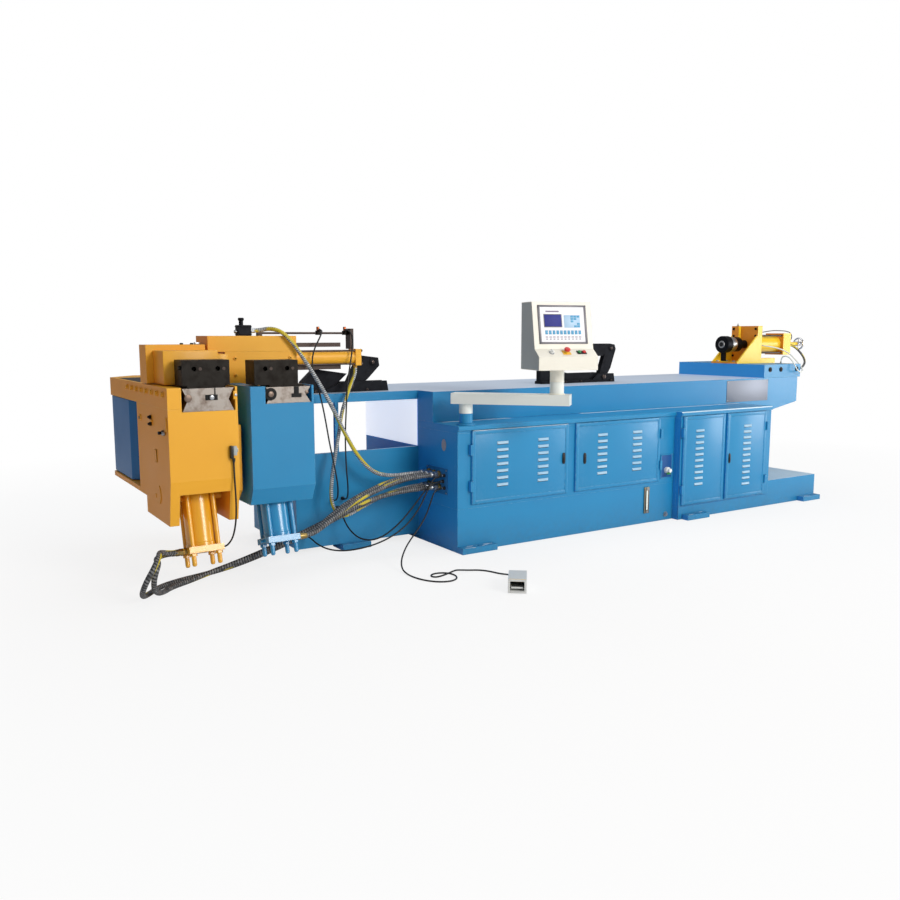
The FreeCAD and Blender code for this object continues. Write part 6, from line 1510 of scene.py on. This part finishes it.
@dataclass(frozen=True)
class Studio:
    """A pale floor, soft light and the camera at the photograph's angle."""

    stand: tuple[float, float, float] = (-3.033, -4.649, 1.433)
    yaw: float = 32.61
    pitch: float = 7.64
    focal: float = 861.0
    frame_pixels: float = 900.0
    sensor: float = 36.0

    def build(self) -> None:
        """Makes the floor, the lamps, the world and the camera."""
        self.camera()
        self.floor()
        self.lamps()
        bpy.context.scene.view_settings.view_transform = "Standard"

    def camera(self) -> None:
        """The camera, whose focal length is in pixels of the square picture."""
        data = bpy.data.cameras.new("photo_camera")
        data.sensor_width = self.sensor
        data.lens = self.sensor * self.focal / self.frame_pixels
        eye = bpy.data.objects.new("photo_camera", data)
        yaw, pitch = math.radians(self.yaw), math.radians(self.pitch)
        ahead = Vector((math.sin(yaw) * math.cos(pitch), math.cos(yaw) * math.cos(pitch), -math.sin(pitch)))
        eye.location = at(*self.stand)
        eye.rotation_euler = ahead.to_track_quat("-Z", "Y").to_euler()
        bpy.context.scene.collection.objects.link(eye)
        bpy.context.scene.camera = eye

    @staticmethod
    def floor() -> None:
        """A wide pale floor that takes a light shadow and looks white to the camera."""
        mesh = bpy.data.meshes.new("studio_floor")
        reach, level = 60.0, -0.001
        corners = [(x * reach, y * reach, level) for x, y in ((-1, -1), (1, -1), (1, 1), (-1, 1))]
        mesh.from_pydata(corners, [], [(0, 1, 2, 3)])
        paper = bpy.data.materials.new("white_paper_floor")
        paper.use_nodes = True
        tree = paper.node_tree
        tree.nodes.clear()
        path = add(tree, "ShaderNodeLightPath")
        lit = add(tree, "ShaderNodeBsdfDiffuse", {"Color": linear("f4f4f4")})
        white = add(tree, "ShaderNodeEmission", {"Color": linear("ffffff"), "Strength": 1.0})
        # Near the machine the paper takes its shadow, and 6.5 m out it is all white
        where = add(tree, "ShaderNodeVectorMath", {
            0: add(tree, "ShaderNodeTexCoord").outputs["Object"]}, operation="LENGTH")
        fade = add(tree, "ShaderNodeMapRange", {
            "Value": where.outputs["Value"], "From Min": 2.5, "From Max": 6.5, "To Min": 0.78, "To Max": 1.0})
        share = add(tree, "ShaderNodeMath", {
            0: path.outputs["Is Camera Ray"], 1: fade}, operation="MULTIPLY")
        mix = add(tree, "ShaderNodeMixShader", {0: share, 1: lit, 2: white})
        add(tree, "ShaderNodeOutputMaterial", {"Surface": mix})
        mesh.materials.append(paper)
        floor = bpy.data.objects.new("studio_floor", mesh)
        bpy.context.scene.collection.objects.link(floor)

    @staticmethod
    def lamps() -> None:
        """Four large soft lamps and a pale surrounding."""
        for name, place, aim, size, power, tint in (
            ("key_softbox", (1.4, -11.0, 5.5), (0.0, 0.0, 0.7), 5.0, 880.0, "fffbf4"),
            ("top_softbox", (0.2, 0.6, 5.2), (0.2, 0.2, 0.9), 5.0, 110.0, "ffffff"),
            ("right_softbox", (7.4, -3.6, 1.5), (2.0, -0.3, 0.7), 2.6, 130.0, "ffffff"),
            ("back_softbox", (0.4, 6.6, 3.6), (0.0, 0.4, 0.8), 4.0, 150.0, "ffffff"),
        ):
            data = bpy.data.lights.new(name, "AREA")
            data.shape = "DISK"
            data.size = size
            data.energy = power
            data.color = linear(tint)[:3]
            lamp = bpy.data.objects.new(name, data)
            lamp.location = place
            lamp.visible_glossy = name != "back_softbox"
            lamp.rotation_euler = (Vector(aim) - Vector(place)).to_track_quat("-Z", "Y").to_euler()
            bpy.context.scene.collection.objects.link(lamp)
        world = bpy.data.worlds.new("pale_studio")
        bpy.context.scene.world = world
        world.use_nodes = True
        tree = world.node_tree
        tree.nodes.clear()
        path = add(tree, "ShaderNodeLightPath")
        dim = add(tree, "ShaderNodeBackground", {"Color": linear("e9ebf0"), "Strength": 0.36})
        white = add(tree, "ShaderNodeBackground", {"Color": linear("ffffff"), "Strength": 1.0})
        mix = add(tree, "ShaderNodeMixShader", {
            0: path.outputs["Is Camera Ray"], 1: dim, 2: white})
        add(tree, "ShaderNodeOutputWorld", {"Surface": mix})


PAINTED: dict[str, Finish] = {
    "machine_base": BASE_BLUE, "door_frames": BLUE, "cabinet_walls": BLUE, "ledge_deck": BLUE, "upper_bed": BED_BLUE,
    "rear_block": BLUE, "door_hinges": BLUE, "beam_chest": BLUE, "beam_frame": BED_BLUE, "spindle_housing": DEEP_BLUE,
    "pressure_head": BLUE, "pressure_cylinder": BLUE_GLOSS, "floor_pads": BLUE, "console_pivot_post": BLUE,
    "arm_head": YELLOW, "arm_roof": YELLOW, "arm_sole": YELLOW, "clamp_cylinder": YELLOW_GLOSS, "clamp_box": YELLOW,
    "pressure_carriage": YELLOW, "top_beam": YELLOW, "booster_cylinder": YELLOW, "mandrel_bracket": LEMON,
    "mandrel_cylinder": LEMON, "clamp_slide": GROUND, "pressure_slide": GROUND, "bend_spindle": TURNED,
    "fittings": ZINC, "booster_guides": RODS, "mandrel_rod": CAST_BLACK, "clamp_die_block": BLACKED,
    "pressure_die_block": BLACKED, "support_bases": CAST_BLACK, "support_a_lever": CAST_BLACK,
    "support_b_lever": CAST_BLACK, "top_valve": CAST_BLACK, "console_arm": PALE_ARM, "console_case": CREAM,
    "handwheel": CHROME, "foot_pedal": PEDAL,
}


def paint_frame() -> None:
    """Gives every CAD node that stays in sight its finish."""
    for name, finish in PAINTED.items():
        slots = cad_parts[name].data.materials
        slots.clear()
        slots.append(finish.material())


def main() -> None:
    """Dresses the machine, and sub-assembly by sub-assembly."""
    logging.basicConfig(level=logging.INFO, format="%(message)s")
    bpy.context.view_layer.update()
    Studio().build()
    Fittings().build()
    for cord in CORDS:
        cord.build()
    paint_frame()
    for part in (Cabinet(), Heads(), Booster(), Console(), Supports(), MandrelUnit()):
        part.build()


if __name__ == "__main__":
    main()
